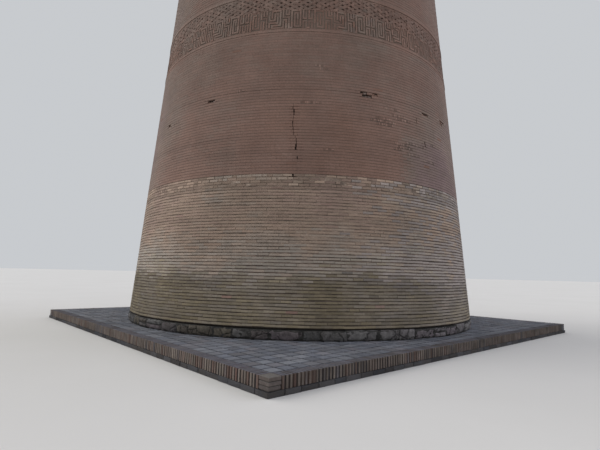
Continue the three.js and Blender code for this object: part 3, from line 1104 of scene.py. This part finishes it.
def make_lower_shaft():
    """Pale bricks with raked bed joints: pale and broken at the top, damp and deeper jointed at the foot."""
    node = "lower_brick_shaft"
    piece = Piece("lower_shaft_bricks")
    foot, top = foot_of(node), top_of(node)
    courses = Courses(foot + FOOT_GAP, top, LIGHT_BRICK_HEIGHT, LIGHT_END_JOINT, unevenness=0.045)
    add_raked_mortar(piece, courses, foot)
    courses.break_up((courses.from_top() < 4) & (rng.uniform(size=len(courses.row)) < 0.25), 2)
    worn = WORN_JOINTS[np.minimum(courses.from_top(), len(WORN_JOINTS) - 1)]
    courses.shorten(worn * rng.uniform(0.0, 1.5, len(worn)))
    courses.shorten(np.where(rng.uniform(size=len(worn)) < 0.15, rng.uniform(0.0, 0.008, len(worn)), 0.0))
    courses.keep((worn == 0) | (rng.uniform(size=len(worn)) > 0.02))
    open_damage(courses)

    count = len(courses.row)
    from_top = courses.from_top()
    above = courses.middle() - foot
    side = side_of(courses.angle())
    row_tone = rng.normal(0, 0.025, len(courses.edges))
    tone = tones(count, np.interp(above, [0.55, 0.7], [0.075, 0.04]))
    tone += row_tone[courses.row] + courses.drift(0.035)
    level = above + np.interp(side, DAMP_SIDES, DAMP_SINKS) * np.clip(1.6 - above, 0, 1)
    level += rng.normal(0, 0.04, count) + courses.drift(0.03)
    tone *= np.interp(level, LIGHT_HEIGHTS, LIGHT_TONES)
    damp_share = np.interp(level, [0.5, 0.7], [1.0, 0.0])
    tone *= 1 + damp_share * (np.interp(side, DAMP_SIDES, DAMP_TONES) - 1)
    # Painted light: the bricks are made brighter round to the left and to the right of the photographed side,
    # and on its far right rim
    left = np.interp(above, [0.5, 0.65, 0.8, 1.05, 1.3, 1.5], [0.0, 0.15, 0.17, 0.28, 0.22, 0.09])
    right = np.interp(above, [0.8, 1.05, 1.3, 1.9], [0.02, 0.1, 0.06, 0.0])
    rim = np.interp(side, [32, 50, 80, 110], [0.0, 0.1, 0.1, 0.0]) * np.interp(above, [0.5, 0.65], [0, 1])
    tone *= 1 + left * towards_left(side) + right * towards_left(-side) + rim
    tone[courses.row == 0] *= 1.2
    tint = tints(count, np.interp(level, LIGHT_HEIGHTS, LIGHT_TINTS), 0.03, 0.004, 0.8)
    tint += damp_share * np.interp(side, DAMP_SIDES, DAMP_TINTS)
    tint += towards_left(side) * np.interp(above, [0.9, 1.2, 1.5, 1.7], [0.04, 0.04, -0.04, -0.08])
    greyish = np.interp(side, [10, 35, 55, 90, 130], [0.0, 0.45, 0.7, 0.7, 0.0])
    greyish = greyish * np.interp(above, [1.05, 1.25, 1.5, 1.65], [1.0, 0.5, 0.55, 0.9])
    tint += greyish * (0.25 - tint) + courses.drift(0.05)
    pale_share = PALE_SHARES[np.minimum(from_top, len(PALE_SHARES) - 1)]
    pale = rng.uniform(size=count) < pale_share * np.interp(side, [10, 35, 60, 90], [1.0, 0.5, 0.5, 1.0])
    tone[pale] *= 1.13
    tint[pale] = 0.46
    tone[(from_top < len(PALE_SHARES)) & ~pale] *= 0.85
    tone[from_top < 4] *= rng.uniform(0.88, 1.16, (from_top < 4).sum())
    damp = np.clip(1 - above, 0, 1) * rng.uniform(0.1, 0.4, count) * (1 - greyish)
    points = courses.bricks(-rng.uniform(0, 0.0012, count), ARRIS)
    grey = (rng.uniform(size=count) < 1.3 * greyish) & (level > 0.5)
    for chosen, material in ((~grey, light_brick), (grey, grey_brick)):
        piece.add(points[chosen], material, tone[chosen], tint[chosen], damp[chosen])
    add_broken_bricks(piece, courses, light_brick)
    piece.finish("light_brick", [node])


def add_raked_mortar(piece, courses, foot):
    """The mortar behind the pale bricks, darker towards the foot, with an open joint above the footing."""
    radii, tone = opened_core(courses.edges, LIGHT_RECESS)
    radii = radii + rng.normal(0, 0.0012, radii.shape)
    above = courses.edges - foot
    worn_top = courses.edges[-1] - 4 * COURSE_HEIGHT - foot
    heights = [0, 0.55, 0.8, 1.2, worn_top - 0.02, worn_top]
    tone = tone * np.interp(above, heights, [0.85, 0.95, 1.35, 1.7, 1.6, 1.9])[:, None]
    tone = tone * rng.uniform(0.8, 1.15, tone.shape)
    tone[-5:] *= rng.uniform(0.7, 1.25, (5, SHAFT_SIDES))
    angles = side_angles(SHAFT_SIDES)
    for waves in (5, 9, 17, 31):
        phase = rng.uniform(0, 2 * math.pi, (len(tone), 1))
        tone = tone * (1 + 0.14 * np.sin(waves * angles + phase))
    side = side_of(angles)
    tone = tone * np.interp(side, [15, 45, 90, 140], [1.0, 0.6, 0.6, 1.0])
    bed = np.abs(courses.edges - PAVING_TOP - PALE_ZONE_BED).argmin()
    tone[bed] *= np.interp(side, [-15, 0, 40, 60], [1.0, 0.45, 0.45, 1.0])
    gap_radii = np.repeat(radii[:1] - FOOTING_RECESS - 0.012, 2, axis=0)
    radii = np.concatenate([gap_radii, radii])
    heights = np.concatenate([[foot, foot + FOOT_GAP], courses.edges])
    # Painted shade: the mortar at the back of the open joint above the footing is made dark
    tone = np.concatenate([np.full(gap_radii.shape, 0.35), tone])
    damp = 0.8 * np.clip(1 - (heights - foot) / 0.75, 0, 1)
    piece.add_turned(radii, heights, light_mortar, tone=tone, damp=damp)


# The plain zone's brightness by the height above the paving
PLAIN_HEIGHTS = [2.25, 2.4, 2.6, 3.2, 3.4, 3.6, 3.8]
PLAIN_TONES = [0.985, 0.965, 1.01, 1.01, 0.97, 0.915, 0.9]


def plain_bricks(piece, courses, arris=0.0, profile=shaft_radius):
    """Facing of the smoother darker zones, redder low down on the photographed side."""
    broken = courses.break_up(chipped(courses), 5)
    count = len(courses.row)
    above = courses.middle() - PAVING_TOP
    side = side_of(courses.angle())
    away = np.abs(side)
    row_tone = rng.normal(0, 0.02, len(courses.edges))
    tone = tones(count, 0.016) + row_tone[courses.row] + courses.drift(0.018)
    tone -= 0.08 * dark_share(above, side)
    tone *= np.interp(above, PLAIN_HEIGHTS, PLAIN_TONES)
    # Painted light: the bricks are made brighter round to the left and to the right of the photographed side
    left = np.interp(above, [2.2, 2.6, 3.3], [0.17, 0.05, 0.0])
    right = np.interp(above, [2.2, 2.5, 3.2, 3.6], [0.03, 0.1, 0.04, 0.12])
    tone *= 1 + left * towards_left(side) + right * towards_left(-side)
    reddish = np.interp(above, [2.7, 3.8], [0.17, 0.0]) * np.interp(away, [12, 40], [1.0, 0.0])
    low_patch = np.interp(above, [2.6, 2.75], [0.35, 0.0]) * np.interp(side, [28, 34, 80, 100], [0, 1, 1, 0])
    far = np.interp(side, [30, 50, 90, 120], [0.0, 0.3, 0.3, 0.0]) * np.interp(above, [3.0, 3.7], [1.0, 0.0])
    far += np.interp(-side, [40, 58, 90, 120], [0.0, 0.2, 0.2, 0.0])
    tint = tints(count, 0.45 + reddish - np.maximum(low_patch, far), 0.03, 0.006, 1.0)
    face = -rng.uniform(0, 0.0007, count)
    face[broken] -= rng.uniform(0, 0.0016, broken.sum())
    tone[broken] *= rng.uniform(0.72, 1.4, broken.sum())
    courses.left = np.where(broken, courses.left + rng.uniform(0, 0.008, count), courses.left)
    courses.low = np.where(broken, courses.low + rng.uniform(0, 0.008, count), courses.low)
    piece.add(courses.bricks(face, arris, profile), plain_brick, tone, tint)


def make_plain_shaft():
    node = "plain_brick_shaft"
    piece = Piece("plain_shaft_bricks")
    courses = Courses(foot_of(node), top_of(node), PLAIN_BRICK_HEIGHT, PLAIN_END_JOINT)
    radii, tone = opened_core(courses.edges, PLAIN_RECESS)
    piece.add_turned(radii, courses.edges, plain_mortar, tone=tone * bed_tones(courses.edges))
    open_damage(courses)
    plain_bricks(piece, courses, ARRIS)
    add_broken_bricks(piece, courses, plain_brick)
    piece.finish("plain_brick", [node])


def bed_tones(edges):
    """How bright the plain zone's mortar is: darker low down and to the photograph's right."""
    above = (edges - PAVING_TOP)[:, None]
    side = side_of(side_angles(SHAFT_SIDES))
    tone = np.interp(above, [2.0, 2.7, 3.2, 3.5], [0.6, 0.68, 0.8, 1.0])
    tone = tone * np.interp(side, [15, 40, 90, 140], [1.0, 0.6, 0.6, 1.0])
    return tone * (1 - 0.5 * dark_share(above, side))


def hollow_core(piece, edges, radii, outer, well=None, tone=1.0):
    """A closed ring of mortar between the given outer radii and the brick-lined well."""
    sides = radii.shape[1]
    if well is None:
        well = WELL_SHARE * shaft_radius(edges[[-1, 0]])
    rings = np.concatenate([radii, np.repeat(well[:, None], sides, axis=1)])
    heights = np.concatenate([edges, edges[[-1, 0]]])
    tone = np.concatenate([np.broadcast_to(tone, radii.shape), np.ones((2, sides))])
    piece.add_turned(rings, heights, outer, inner=well_brick, tone=tone)


def set_back(radii, pitch):
    """Radii of the mortar behind straight bricks, whose middles lie a little inside the round face."""
    return even_radii(radii - PLAIN_RECESS - pitch**2 / (8 * radii))


def make_plain_ring(node):
    piece = Piece(f"{node}_bricks")
    courses = Courses(foot_of(node), top_of(node), PLAIN_BRICK_HEIGHT, PLAIN_END_JOINT)
    edges = courses.edges[[0, -1]]
    hollow_core(piece, edges, set_back(shaft_radius(edges), BRICK_PITCH), plain_mortar)
    plain_bricks(piece, courses)
    piece.finish("plain_brick", [node])


# Openings

def arch_half(above, width, springing, frame_width=0.0):
    """Half width of a pointed arch and its frame at a height above its sill, or 0 beyond it."""
    rise = np.clip(above - springing, 0, None)
    half = np.sqrt(np.maximum((width + frame_width) ** 2 - rise**2, 0)) - width / 2
    return np.where(above < 0, 0, np.maximum(half, 0))


def arch_outline(width, springing, steps=10):
    """Points of a pointed arch, from its right foot over the point to its left foot."""
    turns = np.radians(np.linspace(0, 60, steps))
    right = np.stack([width * np.cos(turns) - width / 2, springing + width * np.sin(turns)], axis=1)
    left = right[-2::-1] * (-1, 1)
    return np.concatenate([[(width / 2, 0)], right, left, [(-width / 2, 0)]])


def cutter(outline, sill, reach, angle):
    """A prism of an upright outline that runs outwards over a reach in the given direction."""
    count = len(outline)
    outward = np.array([math.cos(angle), math.sin(angle), 0])
    across = np.array([-math.sin(angle), math.cos(angle), 0])
    ends = []
    for distance in reach:
        points = distance * outward + np.outer(outline[:, 0], across)
        points[:, 2] = sill + outline[:, 1]
        ends.append(points)
    faces = [list(range(count))[::-1], list(range(count, 2 * count))]
    for i in range(count):
        after = (i + 1) % count
        faces.append([i, after, count + after, count + i])
    mesh = bpy.data.meshes.new("cutter")
    mesh.from_pydata(np.concatenate(ends).tolist(), [], faces)
    return add_object("cutter", mesh)


def cut_openings(piece, cutters):
    """Cuts the openings out of a piece for good, and marks its new faces like its old ones."""
    for shape in cutters:
        modifier = piece.modifiers.new("opening", "BOOLEAN")
        modifier.operation = "DIFFERENCE"
        modifier.solver = "EXACT"
        modifier.object = shape
    graph = bpy.context.evaluated_depsgraph_get()
    mesh = bpy.data.meshes.new_from_object(piece.evaluated_get(graph))
    piece.modifiers.clear()
    piece.data = mesh
    for shape in cutters:
        bpy.data.objects.remove(shape)
    tone = np.empty(len(mesh.vertices), np.float32)
    mesh.attributes["tone"].data.foreach_get("value", tone)
    for mark, value in zip(Piece.MARKS, (1.0, 0.5, 0.0)):
        data = mesh.attributes[mark].data
        values = np.empty(len(tone), np.float32)
        data.foreach_get("value", values)
        data.foreach_set("value", np.where(tone < 0.1, np.float32(value), values))


def make_door_storey():
    nodes = ["doorway_wall", "door_storey_wall_west", "door_storey_wall_south", "door_storey_wall_east"]
    low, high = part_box("door_storey_wall_east")
    courses = Courses(low.z, high.z, PLAIN_BRICK_HEIGHT, PLAIN_END_JOINT)
    core = Piece("door_storey_core")
    radii, tone = opened_core(courses.edges, PLAIN_RECESS)
    hollow_core(core, courses.edges, radii, plain_mortar, tone=tone * bed_tones(courses.edges))
    core = core.finish("plain_brick", nodes)
    opening = cutter(arch_outline(DOOR_WIDTH, DOOR_SPRINGING), low.z + 0.0005, DOOR_CUT, DOOR_SIDE)
    cut_openings(core, [opening])

    piece = Piece("door_storey_bricks")
    open_damage(courses)
    half = arch_half(courses.middle() - low.z, DOOR_WIDTH, DOOR_SPRINGING, DOOR_FRAME)
    courses.cut(DOOR_SIDE, half + PLAIN_END_JOINT * (half > 0))
    plain_bricks(piece, courses, ARRIS)
    add_broken_bricks(piece, courses, plain_brick)
    add_door_frame(piece, low.z)
    piece.finish("plain_brick")


def add_door_frame(piece, sill):
    """Upright stacks of bricks beside the doorway and a ring of wedge-shaped ones over it."""
    half = DOOR_WIDTH / 2
    radius = float(shaft_radius(sill + DOOR_SPRINGING))
    rows = round(DOOR_SPRINGING / COURSE_HEIGHT)
    levels = np.linspace(0, DOOR_SPRINGING, rows + 1)
    turns = np.linspace(0, 1, 13)
    near = np.radians(60) * turns
    far = math.acos(half / (DOOR_WIDTH + DOOR_FRAME)) * turns
    for side in (-1, 1):
        outlines = []
        for low, high in zip(levels[:-1] + 0.003, levels[1:] - 0.003):
            outlines.append([(half, low), (half + DOOR_FRAME, low), (half + DOOR_FRAME, high), (half, high)])
        for i in range(len(turns) - 1):
            outline = []
            for reach, turn in [
                (DOOR_WIDTH, near[i] + 0.006),
                (DOOR_WIDTH + DOOR_FRAME, far[i] + 0.005),
                (DOOR_WIDTH + DOOR_FRAME, far[i + 1] - 0.005),
                (DOOR_WIDTH, near[i + 1] - 0.006),
            ]:
                outline.append((reach * math.cos(turn) - half, DOOR_SPRINGING + reach * math.sin(turn)))
            outlines.append(outline)
        corners = np.array(outlines)
        if side < 0:
            corners = corners[:, ::-1] * (-1, 1)
        corners[..., 0] += radius * DOOR_SIDE
        corners[..., 1] += sill
        count = len(corners)
        points = round_wall(prisms(corners, rng.uniform(0, 0.003, count), DOOR_FRAME_DEPTH), radius)
        piece.add(points, ornament_brick, tones(count, 0.08), tints(count, 0.5, 0.12, 0.04, 0.95))


# Ornament bands

UPRIGHTS = ["#.#.#.#."]
TALL_KEY = ["#######.", "#.....#.", "#.###.#.", *UPRIGHTS * 8, "#.#...#.", "#.#####.", "#......."]
STEPPED_BARS = [
    *["#.#.#."] * 3, "#.###.", "#.....", "#####.", "....#.", "###.#.", *["#.#.#."] * 5, "#.#.##"
]
HOOKED_BARS = [
    "#.#######.",
    "#.#.....#.",
    "#.#.###.#.",
    *["#.#.#.#.#."] * 3,
    "#...#.#.#.",
    "#####.#.#.",
    "......#.#.",
    "#######.#.",
    "#.......#.",
    "#.#######.",
    "#.#.......",
    "#.########",
]
PAIRED_LOOPS = [*UPRIGHTS * 6, "###.###.", "........", "###.###.", *UPRIGHTS * 4, "#.###.#."]
FRET_PARTS = [TALL_KEY, STEPPED_BARS, HOOKED_BARS, STEPPED_BARS, TALL_KEY, PAIRED_LOOPS]
FRET = ["".join(line) for line in zip(*FRET_PARTS)]


def mirrored(halves):
    """A motif from the left halves of its rows."""
    return [half + half[::-1] for half in halves]


def mirrored_both_ways(quarter):
    """A motif from the left halves of its upper rows."""
    return mirrored(quarter + quarter[::-1])


LOZENGES = mirrored_both_ways([".....#", "....#.", "...#..", "..#..#", ".#..##", "#..###"])
CROSSES = mirrored_both_ways(["....##", "....#.", "....#.", ".####.", ".#...#", ".#..##"])
STARS = mirrored_both_ways([".....#", ".....#", "..##.#", "..####", "...###", "####.#"])
CHEVRON = ["..##..", "#..##.", "##..##", ".##..#"]
CHEVRONS = mirrored(["##....", ".##...", *CHEVRON * 2, "..##..", "...##."])
NET = mirrored(["##..", ".##.", "..##", "...#", "..##", ".##."] * 2)
KEYS = [
    "###########.",
    "#.........#.",
    "#.#######.#.",
    "#.#.....#.#.",
    "#.#.###.#.#.",
    "#.#.#.#.#.#.",
    "#.#.#...#.#.",
    "#.#.#####.#.",
    "#.#.......#.",
    "#.#########.",
    "#...........",
    "############",
]
UPPER_MOTIFS = [LOZENGES, KEYS, STARS, CHEVRONS, CROSSES, NET]


def bars(motif, longest):
    """Bars (column, row, columns, rows) that cover a motif's marks, none longer than the given units."""
    free = set()
    for row, line in enumerate(reversed(motif)):
        free |= {(column, row) for column, mark in enumerate(line) if mark == "#"}
    found = []
    while free:
        column, row = min(free)
        up = 1
        while up < longest and (column, row + up) in free:
            up += 1
        across = 1
        while across < longest and (column + across, row) in free:
            across += 1
        columns, rows = (1, up) if up >= across else (across, 1)
        found.append((column, row, columns, rows))
        free -= {(column + i, row + j) for i in range(columns) for j in range(rows)}
    return np.array(found)


def band_marks(angle, spread, factor, tint_spread, odd_share, odd_tint, most_damp):
    """Tone, tint and damp of a band's bricks: a little brighter beside the photographed side, and redder
    to its right."""
    side = side_of(angle)
    # Painted light: the bricks to either side of the photographed side are made a little brighter
    beside = np.interp(np.abs(side), [12, 35, 100, 140], [1.0, 1.07, 1.07, 1.0])
    tone = tones(len(angle), spread) * factor * beside
    centre = np.interp(side, [5, 35, 80, 110], [0.44, 0.58, 0.58, 0.44])
    tint = tints(len(angle), centre, tint_spread, odd_share, odd_tint)
    return tone, tint, rng.uniform(0, most_damp, len(angle))


def add_relief(piece, motif, low, high, longest, swell=0.0, worn_share=0.0):
    """Repeats a motif in bars of brick round the shaft between two heights.

    No bar is longer than the given number of units. Swell makes the bars wider than their gaps, in
    shares of a unit. The worn share of the bars stands back, in some stretches more than in others."""
    unit = (high - low) / len(motif)
    radius = float(shaft_radius((low + high) / 2))
    width = len(motif[0])
    repeats = round(2 * math.pi * radius / (width * unit))
    step = 2 * math.pi * radius / (repeats * width)
    column, row, columns, rows = bars(motif, longest).T
    starts = (column[None] + width * np.arange(repeats)[:, None]).ravel()
    row, columns, rows = (np.tile(values, repeats) for values in (row, columns, rows))
    count = len(starts)
    angle = starts * step / radius
    stretch = np.sin(7 * angle + 1.0) + np.sin(11 * angle + 2.0) + np.sin(17 * angle)
    worn = rng.uniform(size=count) < worn_share * np.clip(1 + stretch, 0, 3)
    edge = swell * unit - 0.0006
    ragged = rng.uniform(-0.0012, 0.0012, (2, count)) * (longest > 3)
    points = blocks(
        starts * step - edge + ragged[0],
        (starts + columns) * step + edge + ragged[1],
        low + row * unit - edge,
        low + (row + rows) * unit + edge,
        -rng.uniform(0, 0.35 * FRET_GROUND, count) - np.where(worn, 0.6 * FRET_GROUND, 0.0),
        FRET_GROUND + ORNAMENT_BED,
        wobble=0.0024,
    )
    tone, tint, damp = band_marks(angle, 0.07, np.where(worn, 0.86, 1.0), 0.08, 0.01, 0.95, 0.2)
    piece.add(round_wall(points, radius), ornament_brick, tone, tint + 0.06 * stretch, damp)


def add_brick_ring(
    piece, low, high, face, depth, pitch=BRICK_PITCH, joint=0.0015, profile=shaft_radius, gap=0.0
):
    """One course of bricks round the shaft, standing out by face from the given profile."""
    radius = float(profile((low + high) / 2))
    count = round(2 * math.pi * radius / pitch)
    step = 2 * math.pi * radius / count
    start = step * (np.arange(count) + rng.uniform(0, 1)) + rng.normal(0, 0.004, count) * step
    points = blocks(
        start,
        start + step * (1 - gap) - joint,
        low + rng.uniform(0, 0.0008, count),
        high - rng.uniform(0, 0.0008, count),
        face - rng.uniform(0, 0.0008, count),
        depth,
        wobble=0.0008,
    )
    looks = band_marks(start / radius, 0.015, 1.0, 0.02, 0.005, 0.7, 0.1)
    piece.add(round_wall(points, radius, profile), ornament_brick, *looks)


def add_lattice(piece, low, high):
    """A net of slanted bars between two heights, with small lozenges in half of its openings."""
    up = (high - low) / LATTICE_ROWS
    radius = float(shaft_radius((low + high) / 2))
    count = round(2 * math.pi * radius / LATTICE_ACROSS)
    step = 2 * math.pi * radius / count
    shift = (PHOTO_SIDE + math.radians(LATTICE_TURN)) * radius
    half_rows = round(2 * LATTICE_ROWS)
    outlines = []
    for row in range(half_rows):
        for column in range(2 * count):
            rising = (row + column) % 2 == 0
            u = shift + column * step / 2
            v = low + row * up / 2
            start = np.array([u, v if rising else v + up / 2])
            end = np.array([u + step / 2, v + up / 2 if rising else v])
            run = (end - start) / np.linalg.norm(end - start)
            side = np.array([-run[1], run[0]]) * LATTICE_BAR * rng.uniform(0.8, 1.35) / 2
            outlines.append([start - side, end - side, end + side, start + side])
    bosses = []
    for row in range(1, half_rows // 2 + 1):
        for column in range(count):
            u = shift + (column + 0.5) * step
            v = low + row * up
            a, b = rng.uniform(0.06, 0.2) * np.array([step, up])
            bosses.append([(u, v - b), (u + a, v), (u, v + b), (u - a, v)])
    for corners, face in ((np.array(outlines), 0.0), (np.array(bosses), -0.004)):
        amount = len(corners)
        corners = corners + rng.uniform(-0.0035, 0.0035, corners.shape)
        face = face - rng.uniform(0, 0.006, amount)
        points = prisms(corners, face, LATTICE_GROUND + ORNAMENT_BED)
        looks = band_marks(corners[:, 0, 0] / radius, 0.1, 0.88, 0.05, 0.005, 0.8, 0.3)
        piece.add(round_wall(points, radius), ornament_brick, *looks)


def add_band_body(piece, foot, top, steps, rib_tone, pitch=BRICK_PITCH):
    """A band's mortar, the rib at its foot, over a course that is flush with the shaft, and its top rib.

    Each step between the ribs is its top's height above the foot, how far out it is and its tone."""
    rib_back = RIB_FACE - RIB_RECESS
    steps = [
        (FLUSH_COURSE, -PLAIN_RECESS, rib_tone),
        (LOWER_RIB_HEIGHT, rib_back, rib_tone),
        *steps,
        (top - foot, rib_back, rib_tone),
    ]
    tops, outs, tone = np.repeat(np.array(steps), 2, axis=0).T
    edges = foot + np.append(0, tops[:-1])
    radii = even_radii(shaft_radius(edges) + outs, BAND_SIDES)
    hollow_core(piece, edges, radii, ground_mortar, tone=tone[:, None])
    for low, high, face in [
        (foot + 0.0002, foot + FLUSH_COURSE - 0.002, 0.0),
        (foot + FLUSH_COURSE + 0.002, foot + LOWER_RIB_HEIGHT - 0.001, RIB_FACE),
        (top - UPPER_RIB_HEIGHT + 0.002, top - 0.0002, RIB_FACE),
    ]:
        add_brick_ring(piece, low, high, face, 0.05, pitch, joint=0.0005)


def make_first_band():
    """The seen band: a rib, an upright fret, a fine lattice with deep holes and an upper rib."""
    node = BANDS[0]
    piece = Piece(f"{node}_bricks")
    foot, top = foot_of(node), top_of(node)
    fret_low, fret_high = foot + 0.083, foot + 0.360
    border_low, border_high = foot + 0.361, foot + 0.373
    lattice_low, lattice_high = foot + 0.374, foot + 0.598
    # The deeper grounds get lower tones than the ribs: partly dirt and partly painted shade
    steps = [
        (0.366, -FRET_GROUND, 1.28),
        (0.602, -LATTICE_GROUND, 1.0),
        (top - foot - UPPER_RIB_HEIGHT, -RIB_RECESS, 1.5),
    ]
    add_band_body(piece, foot, top, steps, 1.5, BRICK_PITCH / 2)
    add_brick_ring(piece, foot + LOWER_RIB_HEIGHT + 0.001, fret_low - 0.002, -0.004, 0.03)
    add_relief(piece, FRET, fret_low, fret_high, 4, swell=0.1, worn_share=0.3)
    add_brick_ring(piece, border_low, border_high, -0.002, 0.045)
    add_lattice(piece, lattice_low, lattice_high)
    add_brick_ring(piece, lattice_high - 0.001, top - UPPER_RIB_HEIGHT - 0.003, -0.003, 0.045)
    piece.finish("ornament_brick", [node])


def make_upper_band(node, motif):
    piece = Piece(f"{node}_bricks")
    foot, top = foot_of(node), top_of(node)
    # The ground gets a lower tone than the ribs: partly dirt and partly painted shade
    add_band_body(piece, foot, top, [(top - foot - UPPER_RIB_HEIGHT, -FRET_GROUND, 1.2)], 1.4)
    field_low = foot + LOWER_RIB_HEIGHT + 0.022
    field_high = top - UPPER_RIB_HEIGHT - 0.022
    add_brick_ring(piece, foot + LOWER_RIB_HEIGHT + 0.002, field_low - 0.003, -0.003, 0.03)
    add_brick_ring(piece, field_high + 0.003, top - UPPER_RIB_HEIGHT - 0.004, -0.003, 0.03)
    add_relief(piece, motif, field_low, field_high, 3)
    piece.finish("ornament_brick", [node])


# The top

def lantern_radius(height):
    return np.full(np.shape(height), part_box("lantern_drum")[1].x)


def corbel_radius(height):
    return np.full(np.shape(height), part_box("corbel_ring")[1].x)


def make_corbel():
    """Two steps outwards, of three courses each: spaced bricks in the middle of the lower step."""
    node = "corbel_ring"
    piece = Piece("corbel_bricks")
    low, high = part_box(node)
    outer = high.x
    middle = (low.z + high.z) / 2
    edges = np.array([low.z, middle, middle, high.z - 0.004])
    radii = outer - np.repeat([CORBEL_STEP + CORBEL_CORE_DEPTH, FRET_GROUND], 2)
    well = WELL_SHARE * np.full(2, outer - 2 * CORBEL_STEP)
    hollow_core(piece, edges, even_radii(radii), ground_mortar, well)
    pitch = (middle - low.z) / 3
    for course in range(6):
        foot = low.z + course * pitch + 0.003
        face = -CORBEL_STEP if course < 3 else 0.0
        gap = 0.4 if course == 1 else 0.0
        add_brick_ring(piece, foot, foot + pitch - 0.006, face, 0.08, 0.1, 0.004, corbel_radius, gap)
    piece.finish("ornament_brick", [node])


def make_lantern():
    """A small drum with four arched windows and a rim that has lost some of its bricks."""
    node = "lantern_drum"
    low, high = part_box(node)
    radius = high.x
    edges = np.array([low.z, high.z])
    outer = set_back(np.full(2, radius), LANTERN_PITCH)
    core = Piece("lantern_core")
    hollow_core(core, edges, outer, plain_mortar, well=np.full(2, radius - LANTERN_WALL))
    core = core.finish("plain_brick", [node])
    sill = low.z + WINDOW_SILL
    cutters = []
    for quarter in range(4):
        outline = arch_outline(WINDOW_WIDTH, WINDOW_SPRINGING, 6)
        cutters.append(cutter(outline, sill, LANTERN_CUT, quarter * math.pi / 2))
    for angle, width, depth in RIM_BREAKS:
        half = width / 2
        outline = np.array([(half, -depth), (half, 0.1), (-half, 0.1), (-half, -depth)])
        cutters.append(cutter(outline, high.z, LANTERN_CUT, math.radians(angle)))
    cut_openings(core, cutters)

    piece = Piece("lantern_bricks")
    courses = Courses(low.z, high.z, PLAIN_BRICK_HEIGHT, PLAIN_END_JOINT, LANTERN_PITCH, lantern_radius)
    for quarter in range(4):
        half = arch_half(courses.middle() - sill, WINDOW_WIDTH, WINDOW_SPRINGING)
        courses.cut(quarter * math.pi / 2, half)
    for angle, width, depth in RIM_BREAKS:
        middle = courses.middle()
        lost = middle > high.z - depth * rng.uniform(0.8, 1.1, len(middle))
        courses.cut(math.radians(angle), np.where(lost, width / 2, 0))
    plain_bricks(piece, courses, profile=lantern_radius)
    piece.finish("plain_brick")


make_base_course()
for side, name in enumerate(["kerb_south", "kerb_east", "kerb_north", "kerb_west"]):
    make_kerb(name, side)
for name in ["south_east", "north_east", "north_west", "south_west"]:
    make_corner(f"corner_block_{name}")
make_paving()
make_footing()
make_lower_shaft()
make_plain_shaft()
make_door_storey()
make_first_band()
for name in PLAIN_RINGS:
    make_plain_ring(name)
for i, name in enumerate(BANDS[1:]):
    make_upper_band(name, UPPER_MOTIFS[i % len(UPPER_MOTIFS)])
make_corbel()
make_lantern()


# Floor, light and camera

FLOOR_COLOURS = [(212, 210, 206), (222, 220, 217)]
FLOOR_REACH = 400.0
SKY_COLOUR = (0.93, 0.96, 1.0, 1.0)
SKY_STRENGTH = 0.62

# The camera's side of the tower and its distance from the axis, then where it looks and how it leans
CAMERA_SIDE = math.radians(-42.33)
CAMERA_DISTANCE = 7.935
CAMERA_HEADING = math.radians(137.898)
CAMERA_PITCH = math.radians(6.484)
CAMERA_ROLL = math.radians(1.343)
FOCAL_LENGTH = 25.77


def make_floor():
    finish = Finish("pale_floor", 0.9)
    colour = finish.ramp(finish.noise(0.35), FLOOR_COLOURS)
    grain = finish.bump(finish.noise(60.0), 0.001, 0.3)
    mesh = bpy.data.meshes.new("floor")
    corners = [(x * FLOOR_REACH, y * FLOOR_REACH, 0) for x, y in ((-1, -1), (1, -1), (1, 1), (-1, 1))]
    mesh.from_pydata(corners, [], [(0, 1, 2, 3)])
    mesh.materials.append(finish.done(colour, grain))
    add_object("floor", mesh)


def make_sun(name, heading, height, strength, softness, colour):
    """A soft lamp that shines from a heading in plan and a height above the horizon, in degrees."""
    lamp = bpy.data.lights.new(name, "SUN")
    lamp.energy = strength
    lamp.angle = math.radians(softness)
    lamp.color = colour
    turn = Matrix.Rotation(math.radians(heading + 90), 4, "Z")
    tip = Matrix.Rotation(math.radians(90 - height), 4, "X")
    add_object(name, lamp).matrix_world = turn @ tip


def make_light():
    world = bpy.data.worlds.new("studio")
    world.use_nodes = True
    background = world.node_tree.nodes["Background"]
    background.inputs["Color"].default_value = SKY_COLOUR
    background.inputs["Strength"].default_value = SKY_STRENGTH
    bpy.context.scene.world = world
    photo = math.degrees(PHOTO_SIDE)
    make_sun("key_light", photo - 105, 35, 1.38, 60, (1.0, 0.98, 0.95))
    make_sun("fill_light", photo + 110, 30, 0.67, 60, (0.82, 0.82, 1.0))
    bpy.context.scene.view_settings.view_transform = "Standard"


def make_camera():
    """The photograph's view: from eye height, looking slightly up and a little askew."""
    level = np.array([math.cos(CAMERA_HEADING), math.sin(CAMERA_HEADING), 0.0])
    forward = math.cos(CAMERA_PITCH) * level + math.sin(CAMERA_PITCH) * np.array([0.0, 0.0, 1.0])
    level_right = np.array([math.sin(CAMERA_HEADING), -math.cos(CAMERA_HEADING), 0.0])
    level_up = np.cross(level_right, forward)
    right = math.cos(CAMERA_ROLL) * level_right + math.sin(CAMERA_ROLL) * level_up
    up = math.cos(CAMERA_ROLL) * level_up - math.sin(CAMERA_ROLL) * level_right
    x = CAMERA_DISTANCE * math.cos(CAMERA_SIDE)
    y = CAMERA_DISTANCE * math.sin(CAMERA_SIDE)
    axes = np.array([right, up, -forward, (x, y, PAVING_TOP + EYE_HEIGHT)]).T
    lens = bpy.data.cameras.new("camera")
    lens.lens = FOCAL_LENGTH
    lens.sensor_width = 36.0
    lens.clip_end = 1000.0
    camera = add_object("camera", lens)
    camera.matrix_world = Matrix([*axes.tolist(), (0.0, 0.0, 0.0, 1.0)])
    bpy.context.scene.camera = camera


make_floor()
make_light()
make_camera()
